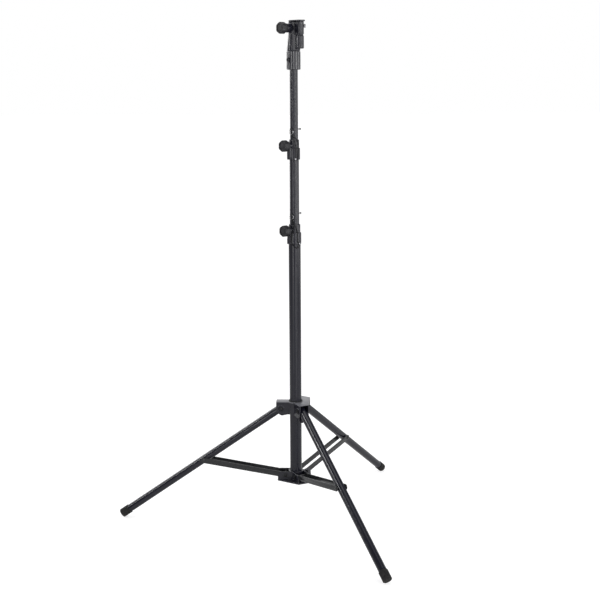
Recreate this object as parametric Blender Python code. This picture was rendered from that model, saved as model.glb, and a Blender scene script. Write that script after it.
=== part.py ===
"""A studio light stand: three folding legs, two telescoping stages and a stand-head adapter.

Metres, +Z up. The stand is on its feet at z = 0, with the footprint centred on the origin. Leg A points
along -X, and legs B and C lie 120 degrees round from it. A direction round the column is an angle from +X.
"""
import math

import bmesh
import bpy
from mathutils import Matrix, Vector
from mathutils.geometry import interpolate_bezier

# Clearances
SEAT_GAP = 0.0003
SLIDE_GAP = 0.0003
HOLE_CLEARANCE = 0.0003
STUD_CLEARANCE = 0.0004

# Mesh cleaning
WELD_DISTANCE = 0.000001
SLIVER_LENGTH = 0.000002
SHARP_ANGLE = math.radians(32)

# Facets round each kind of piece
COLUMN_SIDES = 24
LEG_SIDES = 16
BOSS_SIDES = 20
SMALL_SIDES = 12
HOLE_SIDES = 10
GRIP_SIDES = 16
WIRE_SIDES = 5
ROUND_END_STEPS = 8
PLATE_ARC_STEPS = 5
KNOB_LOBES = 6
KNOB_POINTS_PER_LOBE = 4
CORD_POINT_SPACING = 0.0085

# Column tubes
LOWER_TUBE_RADIUS = 0.0225
MIDDLE_TUBE_RADIUS = 0.0175
TOP_TUBE_RADIUS = 0.0150
TUBE_WALL = 0.0015
LOWER_TUBE_LENGTH = 0.9610
MIDDLE_TUBE_LENGTH = 0.8400
TOP_TUBE_LENGTH = 0.5820
MIDDLE_STAGE_SHOWN = 0.2400
TOP_STAGE_SHOWN = 0.2525
PLUG_HEIGHT = 0.0180
PLUG_FLANGE = 0.0060
PLUG_WALL = 0.0030

# Legs
LEG_ANGLES = {"a": 180.0, "b": -60.0, "c": 60.0}
LEG_RADIUS = 0.0150
LEG_WALL = 0.0015
LEG_LENGTH = 0.7680
LEG_TILT = math.radians(55.3)
LEG_TAIL = 0.0140
FOOT_CAP_WALL = 0.0020
FOOT_CAP_LENGTH = 0.0380
FOOT_CAP_FLOOR = 0.0050
FOOT_CAP_ROUND = 0.0030
FOOT_CAP_EDGE = 0.0007
PIVOT_BOLT_RADIUS = 0.0040
BOLT_HEAD_RADIUS = 0.0065
BOLT_HEAD_HEIGHT = 0.0040
BOLT_DOME_RADIUS = 0.0039
BOLT_NUT_HEIGHT = 0.0050

# Hub
HUB_PIVOT_REACH = 0.0560
HUB_BUSH_WALL = 0.0015
HUB_SLEEVE_WALL = 0.0044
HUB_CHEEK_THICKNESS = 0.0034
HUB_CHEEK_GAP = 0.0006
HUB_TOP_ABOVE_PIVOT = 0.0242
HUB_SLEEVE_HEIGHT = 0.0465
HUB_CHEEK_REACH = 0.0740
# The underside of a cheek, as points (in from its outer edge, down from its top)
HUB_CHEEK_UNDERSIDE = [
    (0.0000, 0.0195), (0.0020, 0.0315), (0.0080, 0.0425), (0.0160, 0.0490), (0.0224, 0.0510), (0.0320, 0.0490),
    (0.0440, 0.0465),
]
HUB_PLATE_THICKNESS = 0.0030
HUB_PLATE_DISC_MARGIN = 0.0040
HUB_KNOB_BELOW_PIVOT = 0.0413
HUB_KNOB_ANGLE = 0.0
HUB_TAB_THICKNESS = 0.0059
HUB_TAB_HALF_WIDTH = 0.0130
HUB_TAB_BELOW_KNOB = 0.0165
HUB_TAB_CHAMFER = 0.0030
HUB_EDGE = 0.0010

# Braces and the bracket at the foot of the column
BRACE_LENGTH = 0.3236
BRACE_BOLT_ALONG_LEG = 0.3685
BRACE_BAR_HEIGHT = 0.0210
BRACE_BAR_THICKNESS = 0.0030
BRACE_BAR_SPREAD = 0.0180
BRACE_RIVET_HEIGHT = 0.0028
SPACER_RADIUS = 0.0070
BRACKET_PIVOT_REACH = 0.0400
BRACKET_RING_WALL = 0.0062
BRACKET_RING_MARGIN = 0.0047
BRACKET_EDGE = 0.0008
BRACKET_CHEEK_THICKNESS = 0.0030
BRACKET_REACH = 0.0700
BRACKET_TOP_REACH = 0.0630
BRACKET_HEIGHT = 0.0369
BRACKET_BELOW_PIVOT = 0.0217
BRACKET_SHOULDER_HEIGHT = 0.0155
BRACKET_BASE_THICKNESS = 0.0060
TUBE_FOOT_RECESS = 0.0015

# Clamp collars
COLLAR_HEIGHT = 0.0735
COLLAR_SKIRT_HEIGHT = 0.0428
COLLAR_NECK_WALL = 0.0018
LOWER_SKIRT_WALL = 0.0022
UPPER_SKIRT_WALL = 0.0042
LOWER_BUSH_WALL = 0.0017
UPPER_BUSH_WALL = 0.0013
COLLAR_EDGE = 0.0012
COLLAR_BOSS_RADIUS = 0.0110
COLLAR_BOSS_REACH = 0.0297
COLLAR_BOSS_BELOW_TOP = 0.0220
COLLAR_BOSS_ANGLE = -135.0
COLLAR_RIB_WIDTH = 0.0160
RIB_SHOULDER_BELOW_BOSS = 0.0330
LOWER_RIB_REACH = 0.0310
UPPER_RIB_REACH = 0.0285
EYELET_LUG_RADIUS = 0.0052
EYELET_LUG_STANDOFF = 0.0003
EYELET_ABOVE_BOTTOM = 0.0030
LOWER_EYELET_ANGLE = -45.0
UPPER_EYELET_ANGLE = -75.0
EYELET_RADIUS = 0.0045
EYELET_THICKNESS = 0.0026
RIVET_HEAD_RADIUS = 0.0032
RIVET_HEAD_HEIGHT = 0.0010
RIVET_DOME_RADIUS = 0.0022
RIVET_SHANK_RADIUS = 0.0018
RIVET_DEPTH = 0.0014

# Hand knobs
KNOB_RADIUS = 0.0210
KNOB_LENGTH = 0.0300
HUB_KNOB_LENGTH = 0.0190
KNOB_NECK_RADIUS = 0.0160
KNOB_NECK_LENGTH = 0.0070
KNOB_LOBE_DEPTH = 0.0013
KNOB_EDGE = 0.0030
KNOB_RECESS_RADIUS = 0.0135
KNOB_RECESS_DEPTH = 0.0025
STUD_RADIUS = 0.0040

# Safety pins
PIN_ABOVE_COLLAR = 0.0370
PIN_ANGLE = -115.0
PIN_RADIUS = 0.0030
PIN_TIP_RADIUS = 0.0038
PIN_TIP_LENGTH = 0.0070
PIN_TIP_ROUND = 0.0021
PIN_TIP_FLAT = 0.0023
PIN_TIP_REACH = 0.0500
PIN_HOLE_RADIUS = 0.0042
PIN_GRIP_RADIUS = 0.0055
PIN_GRIP_LENGTH = 0.0094
PIN_GRIP_ROUND = 0.0016
PIN_HEAD_DEPTH = 0.0033
PIN_GRIP_STANDOFF = 0.0006
PIN_RING_OUT = 0.0070
PIN_RING_RADIUS = 0.0085
PIN_RING_WIRE = 0.0008
PIN_RING_HOLE = 0.00225
PIN_RING_HOLE_DROP = 0.0011

# Lanyards
CORD_RADIUS = 0.00125

# Stand head
HEAD_SLEEVE_RADIUS = 0.0255
HEAD_SLEEVE_HEIGHT = 0.0665
HEAD_SLEEVE_RIBS = 16
HEAD_RIB_DEPTH = 0.0013
HEAD_SHOULDER_HEIGHT = 0.0695
HEAD_SHOULDER_STEP = 0.0010
HEAD_BODY_FOOT = 0.0330
HEAD_TAPER_HEIGHT = 0.1245
HEAD_HEIGHT = 0.1705
HEAD_NECK_RADIUS = 0.0192
HEAD_TOP_EDGE = 0.0010
HEAD_TUBE_SEAT = 0.0745
HEAD_SOCKET_RADIUS = 0.0143
HEAD_SOCKET_FLOOR = 0.0805
HEAD_SIDE_ANGLE = -45.0
HEAD_BARREL_OFFSET = 0.0350
HEAD_BARREL_RADIUS = 0.0145
HEAD_BARREL_FLOOR = 0.0745
HEAD_BARREL_EDGE = 0.0025
HEAD_BARREL_GROOVE = 0.0012
HEAD_GROOVE_LOW = 0.1195
HEAD_GROOVE_HIGH = 0.1265
HEAD_SIDE_SOCKET_RADIUS = 0.0081
HEAD_SIDE_SOCKET_FLOOR = 0.0800
HEAD_WEB_WIDTH = 0.0200
HEAD_WEB_MARGIN = 0.0040
HEAD_KNOB_ANGLE = -135.0
HEAD_KNOB_HEIGHT = 0.1475
HEAD_KNOB_BOSS_RADIUS = 0.0160
HEAD_KNOB_BOSS_REACH = 0.0370
CAP_PLATE_THICKNESS = 0.0050
CAP_PLATE_RADIUS = 0.0180
SCREW_HEAD_RADIUS = 0.0065
SCREW_HEAD_HEIGHT = 0.0064
SCREW_SHANK_RADIUS = 0.0026
SCREW_EDGE = 0.0008
SCREW_RECESS_RADIUS = 0.0032
SCREW_RECESS_DEPTH = 0.0032
SET_SCREW_ANGLE = -127.0
SET_SCREW_HEIGHT = 0.0355
SIDE_SCREW_ANGLE = 0.0
SIDE_SCREW_HEIGHT = 0.1545
SCREW_BOSS_RADIUS = 0.0080
SCREW_BOSS_HEIGHT = 0.0020

# Heights and radii worked out from the values above, before the stand is set down on its feet
LEG_PIVOT_Z = LEG_LENGTH * math.cos(LEG_TILT)
BRACE_BOLT_REACH = HUB_PIVOT_REACH + BRACE_BOLT_ALONG_LEG * math.sin(LEG_TILT)
BRACE_BOLT_Z = LEG_PIVOT_Z - BRACE_BOLT_ALONG_LEG * math.cos(LEG_TILT)
BRACE_RUN = BRACE_BOLT_REACH - BRACKET_PIVOT_REACH
BRACE_RISE = math.sqrt(BRACE_LENGTH**2 - BRACE_RUN**2)
BRACKET_PIVOT_Z = BRACE_BOLT_Z - BRACE_RISE
BRACKET_Z = BRACKET_PIVOT_Z - BRACKET_BELOW_PIVOT
BRACKET_CHEEK_INNER = BRACE_BAR_SPREAD + BRACE_BAR_THICKNESS + SEAT_GAP
BRACKET_CHEEK_OUTER = BRACKET_CHEEK_INNER + BRACKET_CHEEK_THICKNESS
BRACKET_BORE = LOWER_TUBE_RADIUS + SEAT_GAP
BRACKET_RING_RADIUS = max(BRACKET_BORE + BRACKET_RING_WALL, BRACKET_CHEEK_OUTER + BRACKET_RING_MARGIN)
LOWER_TUBE_Z = BRACKET_Z + TUBE_FOOT_RECESS
LOWER_TUBE_TOP = LOWER_TUBE_Z + LOWER_TUBE_LENGTH
LOWER_COLLAR_Z = LOWER_TUBE_TOP - COLLAR_SKIRT_HEIGHT + 2 * COLLAR_EDGE
LOWER_COLLAR_TOP = LOWER_COLLAR_Z + COLLAR_HEIGHT
UPPER_COLLAR_Z = LOWER_COLLAR_TOP + MIDDLE_STAGE_SHOWN
UPPER_COLLAR_TOP = UPPER_COLLAR_Z + COLLAR_HEIGHT
MIDDLE_TUBE_TOP = UPPER_COLLAR_Z + COLLAR_SKIRT_HEIGHT - 2 * COLLAR_EDGE
MIDDLE_TUBE_Z = MIDDLE_TUBE_TOP - MIDDLE_TUBE_LENGTH
HEAD_Z = UPPER_COLLAR_TOP + TOP_STAGE_SHOWN
TOP_TUBE_TOP = HEAD_Z + HEAD_TUBE_SEAT - SEAT_GAP
TOP_TUBE_Z = TOP_TUBE_TOP - TOP_TUBE_LENGTH
LOWER_PIN_Z = LOWER_COLLAR_TOP + PIN_ABOVE_COLLAR
UPPER_PIN_Z = UPPER_COLLAR_TOP + PIN_ABOVE_COLLAR
HUB_BUSH_RADIUS = LOWER_TUBE_RADIUS + SLIDE_GAP + HUB_BUSH_WALL
HUB_BORE = HUB_BUSH_RADIUS + SEAT_GAP
HUB_SLEEVE_RADIUS = HUB_BORE + HUB_SLEEVE_WALL
HUB_CHEEK_INNER = LEG_RADIUS + HUB_CHEEK_GAP
HUB_CHEEK_OUTER = HUB_CHEEK_INNER + HUB_CHEEK_THICKNESS
HUB_TAB_OUTER = HUB_BORE + HUB_TAB_THICKNESS
BOLT_HOLE_RADIUS = PIVOT_BOLT_RADIUS + HOLE_CLEARANCE
STUD_HOLE_RADIUS = STUD_RADIUS + STUD_CLEARANCE

# Colours are linear RGB, from the photograph
MATERIALS = {
    "powder_coat_black": ((0.020, 0.020, 0.024), 0.42, 0.0),
    "cast_black": ((0.026, 0.026, 0.030), 0.50, 0.0),
    "steel_bar_black": ((0.022, 0.022, 0.024), 0.45, 0.0),
    "hub_plate_grey": ((0.10, 0.10, 0.115), 0.40, 0.3),
    "knob_plastic_black": ((0.018, 0.018, 0.018), 0.45, 0.0),
    "nylon_black": ((0.022, 0.022, 0.022), 0.60, 0.0),
    "rubber_black": ((0.016, 0.016, 0.016), 0.80, 0.0),
    "bolt_steel_black": ((0.05, 0.05, 0.055), 0.35, 0.9),
    "pin_steel": ((0.45, 0.45, 0.46), 0.28, 1.0),
    "screw_steel": ((0.28, 0.28, 0.30), 0.32, 1.0),
    "cord_black": ((0.014, 0.014, 0.015), 0.85, 0.0),
}


def clear_scene():
    for item in list(bpy.data.objects):
        bpy.data.objects.remove(item, do_unlink=True)


def make_material(name):
    colour, roughness, metallic = MATERIALS[name]
    material = bpy.data.materials.new(name)
    material.use_nodes = True
    shader = material.node_tree.nodes["Principled BSDF"]
    shader.inputs["Base Color"].default_value = (*colour, 1.0)
    shader.inputs["Roughness"].default_value = roughness
    shader.inputs["Metallic"].default_value = metallic
    return material


def turn(angle):
    """Rotation about the column by an angle in degrees."""
    return Matrix.Rotation(math.radians(angle), 4, "Z")


def upright(height, angle=0.0, reach=0.0):
    """Place for a piece whose own Z axis stays upright."""
    return turn(angle) @ Matrix.Translation((reach, 0, height))


def outward(angle, reach, height):
    """Place for a piece whose own Z axis points away from the column."""
    return upright(height, angle, reach) @ Matrix.Rotation(math.pi / 2, 4, "Y")


def crosswise(angle, reach, height):
    """Place for a piece whose own Z axis runs across an arm, square to its upright plane."""
    return upright(height, angle, reach) @ Matrix.Rotation(-math.pi / 2, 4, "X")


def as_mesh(shape):
    """Turn a bmesh into a mesh with its faces pointing out."""
    bmesh.ops.remove_doubles(shape, verts=shape.verts, dist=WELD_DISTANCE)
    bmesh.ops.recalc_face_normals(shape, faces=shape.faces)
    mesh = bpy.data.meshes.new("shape")
    shape.to_mesh(mesh)
    shape.free()
    return mesh


def lathe(profile, sides):
    """Turn an outline of (radius, height) points about the Z axis.

    An outline that begins and ends on the axis is left open, and any other is a closed ring.
    """
    shape = bmesh.new()
    corners = [shape.verts.new((radius, 0, height)) for radius, height in profile]
    edges = [shape.edges.new(pair) for pair in zip(corners, corners[1:])]
    if profile[0][0] > 0:
        edges.append(shape.edges.new((corners[-1], corners[0])))
    bmesh.ops.spin(
        shape,
        geom=corners + edges,
        axis=(0, 0, 1),
        angle=2 * math.pi,
        steps=sides,
        use_merge=True,
    )
    return as_mesh(shape)


def loft(rings):
    """Skin a stack of rings of equal counts and close both ends."""
    shape = bmesh.new()
    loops = [[shape.verts.new(point) for point in ring] for ring in rings]
    for lower, upper in zip(loops, loops[1:]):
        for step in range(len(lower)):
            following = (step + 1) % len(lower)
            shape.faces.new((lower[step], lower[following], upper[following], upper[step]))
    shape.faces.new(loops[0])
    shape.faces.new(loops[-1])
    return as_mesh(shape)


def prism(outline, low, high):
    """Extrude an outline of (x, y) points from one height to another."""
    shape = bmesh.new()
    face = shape.faces.new([shape.verts.new((x, y, low)) for x, y in outline])
    grown = bmesh.ops.extrude_face_region(shape, geom=[face])
    raised = [item for item in grown["geom"] if isinstance(item, bmesh.types.BMVert)]
    bmesh.ops.translate(shape, verts=raised, vec=(0, 0, high - low))
    return as_mesh(shape)


def plate_across(outline, inner, outer):
    """Extrude an outline of (reach, height) points across an arm, from one side distance to another."""
    mesh = prism(outline, inner, outer)
    mesh.transform(Matrix(((1, 0, 0, 0), (0, 0, 1, 0), (0, 1, 0, 0), (0, 0, 0, 1))))
    mesh.flip_normals()
    return mesh


def placed(mesh, place):
    mesh.transform(place)
    return mesh


def rod(radius, low, high, sides=SMALL_SIDES):
    return lathe([(0, low), (radius, low), (radius, high), (0, high)], sides)


def cross_rod(radius, low, high, sides=HOLE_SIDES):
    """A rod turned half a facet, so that no edge of it meets an edge of a round body that it crosses."""
    return placed(rod(radius, low, high, sides), Matrix.Rotation(math.pi / sides, 4, "Z"))


def ring_points(radius_at, height, count):
    """One ring of points whose radius may change with the angle round it."""
    angles = [2 * math.pi * step / count for step in range(count)]
    return [(radius_at(a) * math.cos(a), radius_at(a) * math.sin(a), height) for a in angles]


def combine(base, tool, operation):
    """Unite two meshes, or cut the first by the second."""
    pair = [bpy.data.objects.new("solid", mesh) for mesh in (base, tool)]
    for item in pair:
        bpy.context.scene.collection.objects.link(item)
    modifier = pair[0].modifiers.new("combine", "BOOLEAN")
    modifier.operation = operation
    modifier.solver = "EXACT"
    modifier.object = pair[1]
    solved = pair[0].evaluated_get(bpy.context.evaluated_depsgraph_get())
    shape = bmesh.new()
    shape.from_mesh(solved.to_mesh())
    bmesh.ops.dissolve_degenerate(shape, edges=shape.edges, dist=SLIVER_LENGTH)
    for item in pair:
        bpy.data.objects.remove(item, do_unlink=True)
    return as_mesh(shape)


def united(meshes):
    result = meshes[0]
    for mesh in meshes[1:]:
        result = combine(result, mesh, "UNION")
    return result


def cut(base, tools):
    for tool in tools:
        base = combine(base, tool, "DIFFERENCE")
    return base


class Stand:
    """Collects the pieces under one root, each with its material and its place."""

    def __init__(self):
        self.materials = {name: make_material(name) for name in MATERIALS}
        self.root = self.empty("stand", Matrix.Identity(4), None)

    def empty(self, name, place, parent):
        item = bpy.data.objects.new(name, None)
        bpy.context.scene.collection.objects.link(item)
        item.parent = parent
        item.matrix_local = place
        return item

    def add(self, name, mesh, material, place=None, parent=None):
        mesh.name = name
        mesh.materials.clear()
        mesh.materials.append(self.materials[material])
        mesh.shade_smooth()
        mesh.set_sharp_from_angle(angle=SHARP_ANGLE)
        item = bpy.data.objects.new(name, mesh)
        bpy.context.scene.collection.objects.link(item)
        item.parent = parent or self.root
        item.matrix_local = place or Matrix.Identity(4)
        return item


def tube_mesh(radius, wall, low, high, sides):
    inner = radius - wall
    return lathe([(inner, low), (radius, low), (radius, high), (inner, high)], sides)


def bolt_mesh(half_grip, middle=None):
    """A pivot bolt along Z: a domed head above, a hexagon nut below and an optional spacer in the middle."""
    hexagon = math.pi / 3

    def across_flats(angle):
        from_flat = (angle % hexagon) - hexagon / 2
        return BOLT_HEAD_RADIUS * math.cos(hexagon / 2) / math.cos(from_flat)

    def plain(radius):
        return lambda angle: radius

    seat = half_grip + SEAT_GAP
    sections = [
        (across_flats, -seat - BOLT_NUT_HEIGHT),
        (across_flats, -seat),
        (plain(PIVOT_BOLT_RADIUS), -seat),
    ]
    if middle:
        spacer_radius, spacer_half = middle
        sections += [
            (plain(PIVOT_BOLT_RADIUS), -spacer_half),
            (plain(spacer_radius), -spacer_half),
            (plain(spacer_radius), spacer_half),
            (plain(PIVOT_BOLT_RADIUS), spacer_half),
        ]
    sections += [
        (plain(PIVOT_BOLT_RADIUS), seat),
        (plain(BOLT_HEAD_RADIUS), seat),
        (plain(BOLT_HEAD_RADIUS), seat + BOLT_HEAD_HEIGHT / 2),
        (plain(BOLT_DOME_RADIUS), seat + BOLT_HEAD_HEIGHT),
    ]
    return loft([ring_points(radius_at, height, SMALL_SIDES) for radius_at, height in sections])


def knob_mesh(length, stud_length):
    """A lobed hand knob along Z with its base at z = 0 and its stud reaching below."""
    count = KNOB_LOBES * KNOB_POINTS_PER_LOBE

    def lobed(radius):
        def radius_at(angle):
            return radius - KNOB_LOBE_DEPTH * (1 - math.cos(KNOB_LOBES * angle)) / 2
        return radius_at

    def plain(radius):
        return lambda angle: radius

    rings = [
        (plain(STUD_RADIUS), -stud_length),
        (plain(STUD_RADIUS), 0),
        (plain(KNOB_NECK_RADIUS), 0),
        (plain(KNOB_NECK_RADIUS), KNOB_NECK_LENGTH - KNOB_EDGE / 2),
        (lobed(KNOB_RADIUS - KNOB_EDGE), KNOB_NECK_LENGTH),
        (lobed(KNOB_RADIUS), KNOB_NECK_LENGTH + KNOB_EDGE),
        (lobed(KNOB_RADIUS), length - KNOB_EDGE),
        (lobed(KNOB_RADIUS - KNOB_EDGE), length),
        (plain(KNOB_RECESS_RADIUS), length),
        (plain(KNOB_RECESS_RADIUS), length - KNOB_RECESS_DEPTH),
    ]
    return loft([ring_points(radius_at, height, count) for radius_at, height in rings])


def add_column_tubes(stand):
    """The three tubes, and the guide plugs in the feet of the two that slide."""
    stand.add(
        "column_lower_tube",
        tube_mesh(LOWER_TUBE_RADIUS, TUBE_WALL, 0, LOWER_TUBE_LENGTH, COLUMN_SIDES),
        "powder_coat_black",
        upright(LOWER_TUBE_Z),
    )
    stages = [
        ("middle", MIDDLE_TUBE_RADIUS, LOWER_TUBE_RADIUS, MIDDLE_TUBE_Z, MIDDLE_TUBE_LENGTH, LOWER_PIN_Z),
        ("top", TOP_TUBE_RADIUS, MIDDLE_TUBE_RADIUS, TOP_TUBE_Z, TOP_TUBE_LENGTH, UPPER_PIN_Z),
    ]
    for name, radius, outer_radius, bottom, length, pin_height in stages:
        pin_hole = placed(
            cross_rod(PIN_HOLE_RADIUS, -2 * radius, 2 * radius), outward(PIN_ANGLE, 0, pin_height - bottom)
        )
        tube = cut(tube_mesh(radius, TUBE_WALL, 0, length, COLUMN_SIDES), [pin_hole])
        stand.add(f"column_{name}_tube", tube, "powder_coat_black", upright(bottom))
        flange = outer_radius - TUBE_WALL - SLIDE_GAP
        spigot = radius - TUBE_WALL - SEAT_GAP
        plug = lathe(
            [
                (spigot - PLUG_WALL, -PLUG_FLANGE),
                (flange, -PLUG_FLANGE),
                (flange, 0),
                (spigot, 0),
                (spigot, PLUG_HEIGHT),
                (spigot - PLUG_WALL, PLUG_HEIGHT),
            ],
            COLUMN_SIDES,
        )
        stand.add(f"{name}_tube_foot_plug", plug, "nylon_black", upright(bottom - SEAT_GAP))


def collar_mesh(skirt_bore, skirt_wall, neck_bore, rib_reach, eyelet_angle):
    """A clamp casting: skirt, neck, knob boss over a rib, and a small lug for the lanyard's eyelet."""
    skirt = skirt_bore + skirt_wall
    neck = neck_bore + COLLAR_NECK_WALL
    ledge = COLLAR_SKIRT_HEIGHT - 2 * COLLAR_EDGE + SEAT_GAP
    boss_height = COLLAR_HEIGHT - COLLAR_BOSS_BELOW_TOP
    body = lathe(
        [
            (0, 0),
            (skirt - COLLAR_EDGE, 0),
            (skirt, COLLAR_EDGE),
            (skirt, COLLAR_SKIRT_HEIGHT - COLLAR_EDGE),
            (skirt - COLLAR_EDGE, COLLAR_SKIRT_HEIGHT),
            (neck, COLLAR_SKIRT_HEIGHT + COLLAR_EDGE / 2),
            (neck, COLLAR_HEIGHT - COLLAR_EDGE),
            (neck - COLLAR_EDGE / 2, COLLAR_HEIGHT),
            (0, COLLAR_HEIGHT),
        ],
        COLUMN_SIDES,
    )
    boss = placed(
        cross_rod(COLLAR_BOSS_RADIUS, 0, COLLAR_BOSS_REACH, BOSS_SIDES),
        outward(COLLAR_BOSS_ANGLE, 0, boss_height),
    )
    rib_outline = [
        (0, COLLAR_EDGE / 2),
        (rib_reach - COLLAR_EDGE, COLLAR_EDGE / 2),
        (rib_reach, 2 * COLLAR_EDGE),
        (rib_reach, boss_height - RIB_SHOULDER_BELOW_BOSS),
        (COLLAR_BOSS_REACH - COLLAR_EDGE, boss_height - COLLAR_BOSS_RADIUS),
        (COLLAR_BOSS_REACH - COLLAR_EDGE, boss_height),
        (0, boss_height),
    ]
    half_rib = COLLAR_RIB_WIDTH / 2
    rib = placed(plate_across(rib_outline, -half_rib, half_rib), turn(COLLAR_BOSS_ANGLE))
    lug = placed(
        cross_rod(EYELET_LUG_RADIUS, 0, skirt + EYELET_LUG_STANDOFF, SMALL_SIDES),
        outward(eyelet_angle, 0, EYELET_ABOVE_BOTTOM),
    )
    below = -2 * EYELET_LUG_RADIUS
    bore = lathe(
        [
            (0, below),
            (skirt_bore, below),
            (skirt_bore, ledge),
            (neck_bore, ledge),
            (neck_bore, COLLAR_HEIGHT + COLLAR_EDGE),
            (0, COLLAR_HEIGHT + COLLAR_EDGE),
        ],
        COLUMN_SIDES,
    )
    stud_hole = placed(
        cross_rod(STUD_HOLE_RADIUS, 0, 2 * COLLAR_BOSS_REACH), outward(COLLAR_BOSS_ANGLE, 0, boss_height)
    )
    rivet_hole = placed(
        cross_rod(RIVET_SHANK_RADIUS + HOLE_CLEARANCE, -RIVET_DEPTH - SEAT_GAP, RIVET_DEPTH),
        outward(eyelet_angle, skirt + EYELET_LUG_STANDOFF, EYELET_ABOVE_BOTTOM),
    )
    return cut(united([body, boss, rib, lug]), [bore, stud_hole, rivet_hole])


def eyelet_mesh():
    hole = RIVET_SHANK_RADIUS + HOLE_CLEARANCE
    outline = [(hole, 0), (EYELET_RADIUS, 0), (EYELET_RADIUS, EYELET_THICKNESS), (hole, EYELET_THICKNESS)]
    return lathe(outline, SMALL_SIDES)


def eyelet_rivet_mesh():
    """A domed rivet along Z whose head seats on the eyelet, with z = 0 at the lug's face."""
    seat = 2 * SEAT_GAP + EYELET_THICKNESS
    return lathe(
        [
            (0, -RIVET_DEPTH),
            (RIVET_SHANK_RADIUS, -RIVET_DEPTH),
            (RIVET_SHANK_RADIUS, seat),
            (RIVET_HEAD_RADIUS, seat),
            (RIVET_DOME_RADIUS, seat + RIVET_HEAD_HEIGHT),
            (0, seat + RIVET_HEAD_HEIGHT),
        ],
        SMALL_SIDES,
    )


def add_clamp(stand, name, height, tube_radius, slider_radius, skirt_wall, bush_wall, rib_reach, eyelet_angle):
    """One clamp collar with its bush, knob, eyelet and rivet."""
    skirt_bore = tube_radius + SEAT_GAP
    bush_inner = slider_radius + SLIDE_GAP
    bush_outer = bush_inner + bush_wall
    collar = collar_mesh(skirt_bore, skirt_wall, bush_outer + SEAT_GAP, rib_reach, eyelet_angle)
    stand.add(f"{name}_clamp_collar", collar, "cast_black", upright(height))
    boss_height = COLLAR_HEIGHT - COLLAR_BOSS_BELOW_TOP
    ledge = COLLAR_SKIRT_HEIGHT - 2 * COLLAR_EDGE
    bush_low = ledge + 2 * SEAT_GAP
    bush_high = COLLAR_HEIGHT - COLLAR_EDGE / 2
    bush = tube_mesh(bush_outer, bush_wall, bush_low, bush_high, COLUMN_SIDES)
    stud_hole = placed(
        cross_rod(STUD_HOLE_RADIUS, 0, 2 * bush_outer), outward(COLLAR_BOSS_ANGLE, 0, boss_height)
    )
    stand.add(f"{name}_collar_bush", cut(bush, [stud_hole]), "nylon_black", upright(height))
    knob_base = COLLAR_BOSS_REACH + SEAT_GAP
    stand.add(
        f"{name}_collar_knob",
        knob_mesh(KNOB_LENGTH, knob_base - slider_radius - SLIDE_GAP),
        "knob_plastic_black",
        outward(COLLAR_BOSS_ANGLE, knob_base, height + boss_height),
    )
    lug_face = skirt_bore + skirt_wall + EYELET_LUG_STANDOFF
    eyelet_height = height + EYELET_ABOVE_BOTTOM
    stand.add(
        f"{name}_lanyard_eyelet",
        eyelet_mesh(),
        "screw_steel",
        outward(eyelet_angle, lug_face + SEAT_GAP, eyelet_height),
    )
    stand.add(
        f"{name}_eyelet_rivet",
        eyelet_rivet_mesh(),
        "bolt_steel_black",
        outward(eyelet_angle, lug_face, eyelet_height),
    )


def add_safety_pin(stand, name, tube_radius, height):
    """A pin through a tube, its black grip, and the wire ring that the lanyard holds."""
    grip_low = tube_radius + PIN_GRIP_STANDOFF
    grip_high = grip_low + PIN_GRIP_LENGTH
    head = grip_low + PIN_HEAD_DEPTH
    tip = -PIN_TIP_REACH
    rod_mesh = lathe(
        [
            (0, tip),
            (PIN_TIP_FLAT, tip),
            (PIN_TIP_RADIUS, tip + PIN_TIP_ROUND),
            (PIN_TIP_RADIUS, tip + PIN_TIP_LENGTH - PIN_TIP_ROUND),
            (PIN_RADIUS, tip + PIN_TIP_LENGTH),
            (PIN_RADIUS, head),
            (0, head),
        ],
        SMALL_SIDES,
    )
    stand.add(f"{name}_safety_pin", rod_mesh, "pin_steel", outward(PIN_ANGLE, 0, height))
    grip = grip_mesh(grip_low, grip_high, head)
    stand.add(f"{name}_pin_grip", grip, "knob_plastic_black", outward(PIN_ANGLE, 0, height))
    ring_place = upright(height - PIN_RING_RADIUS, PIN_ANGLE, tube_radius + PIN_RING_OUT)
    stand.add(f"{name}_pin_ring", ring_mesh(), "pin_steel", ring_place)


def grip_mesh(low, high, head):
    """A round grip with a socket for the pin's head end and a cross hole for the ring."""
    body = lathe(
        [
            (0, low),
            (PIN_GRIP_RADIUS, low),
            (PIN_GRIP_RADIUS, high - PIN_GRIP_ROUND),
            (PIN_GRIP_RADIUS - PIN_GRIP_ROUND, high),
            (0, high),
        ],
        GRIP_SIDES,
    )
    socket = rod(PIN_RADIUS + HOLE_CLEARANCE, low - PIN_GRIP_LENGTH, head + SEAT_GAP)
    cross = placed(
        cross_rod(PIN_RING_HOLE, -2 * PIN_GRIP_RADIUS, 2 * PIN_GRIP_RADIUS),
        Matrix.Translation((PIN_RING_HOLE_DROP, 0, low - PIN_GRIP_STANDOFF + PIN_RING_OUT))
        @ Matrix.Rotation(math.pi / 2, 4, "X"),
    )
    return cut(body, [socket, cross])


def ring_mesh():
    """A closed wire ring standing in the plane across the pin."""
    round_wire = ring_points(lambda angle: PIN_RING_WIRE, 0, WIRE_SIDES)
    wire = [(PIN_RING_RADIUS + x, y) for x, y, height in round_wire]
    return placed(lathe(wire, BOSS_SIDES), Matrix.Rotation(math.pi / 2, 4, "Y"))


def smooth_route(points):
    """Points read at an even spacing from a smooth curve through the route's own points."""
    ends = [points[0] * 2 - points[1], *points, points[-1] * 2 - points[-2]]
    route = []
    for before, start, finish, after in zip(ends, ends[1:], ends[2:], ends[3:]):
        steps = max(1, round((finish - start).length / CORD_POINT_SPACING))
        handle_out = start + (finish - before) / 6
        handle_in = finish - (after - start) / 6
        route += interpolate_bezier(start, handle_out, handle_in, finish, steps + 1)[:-1]
    return [*route, points[-1]]


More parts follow.
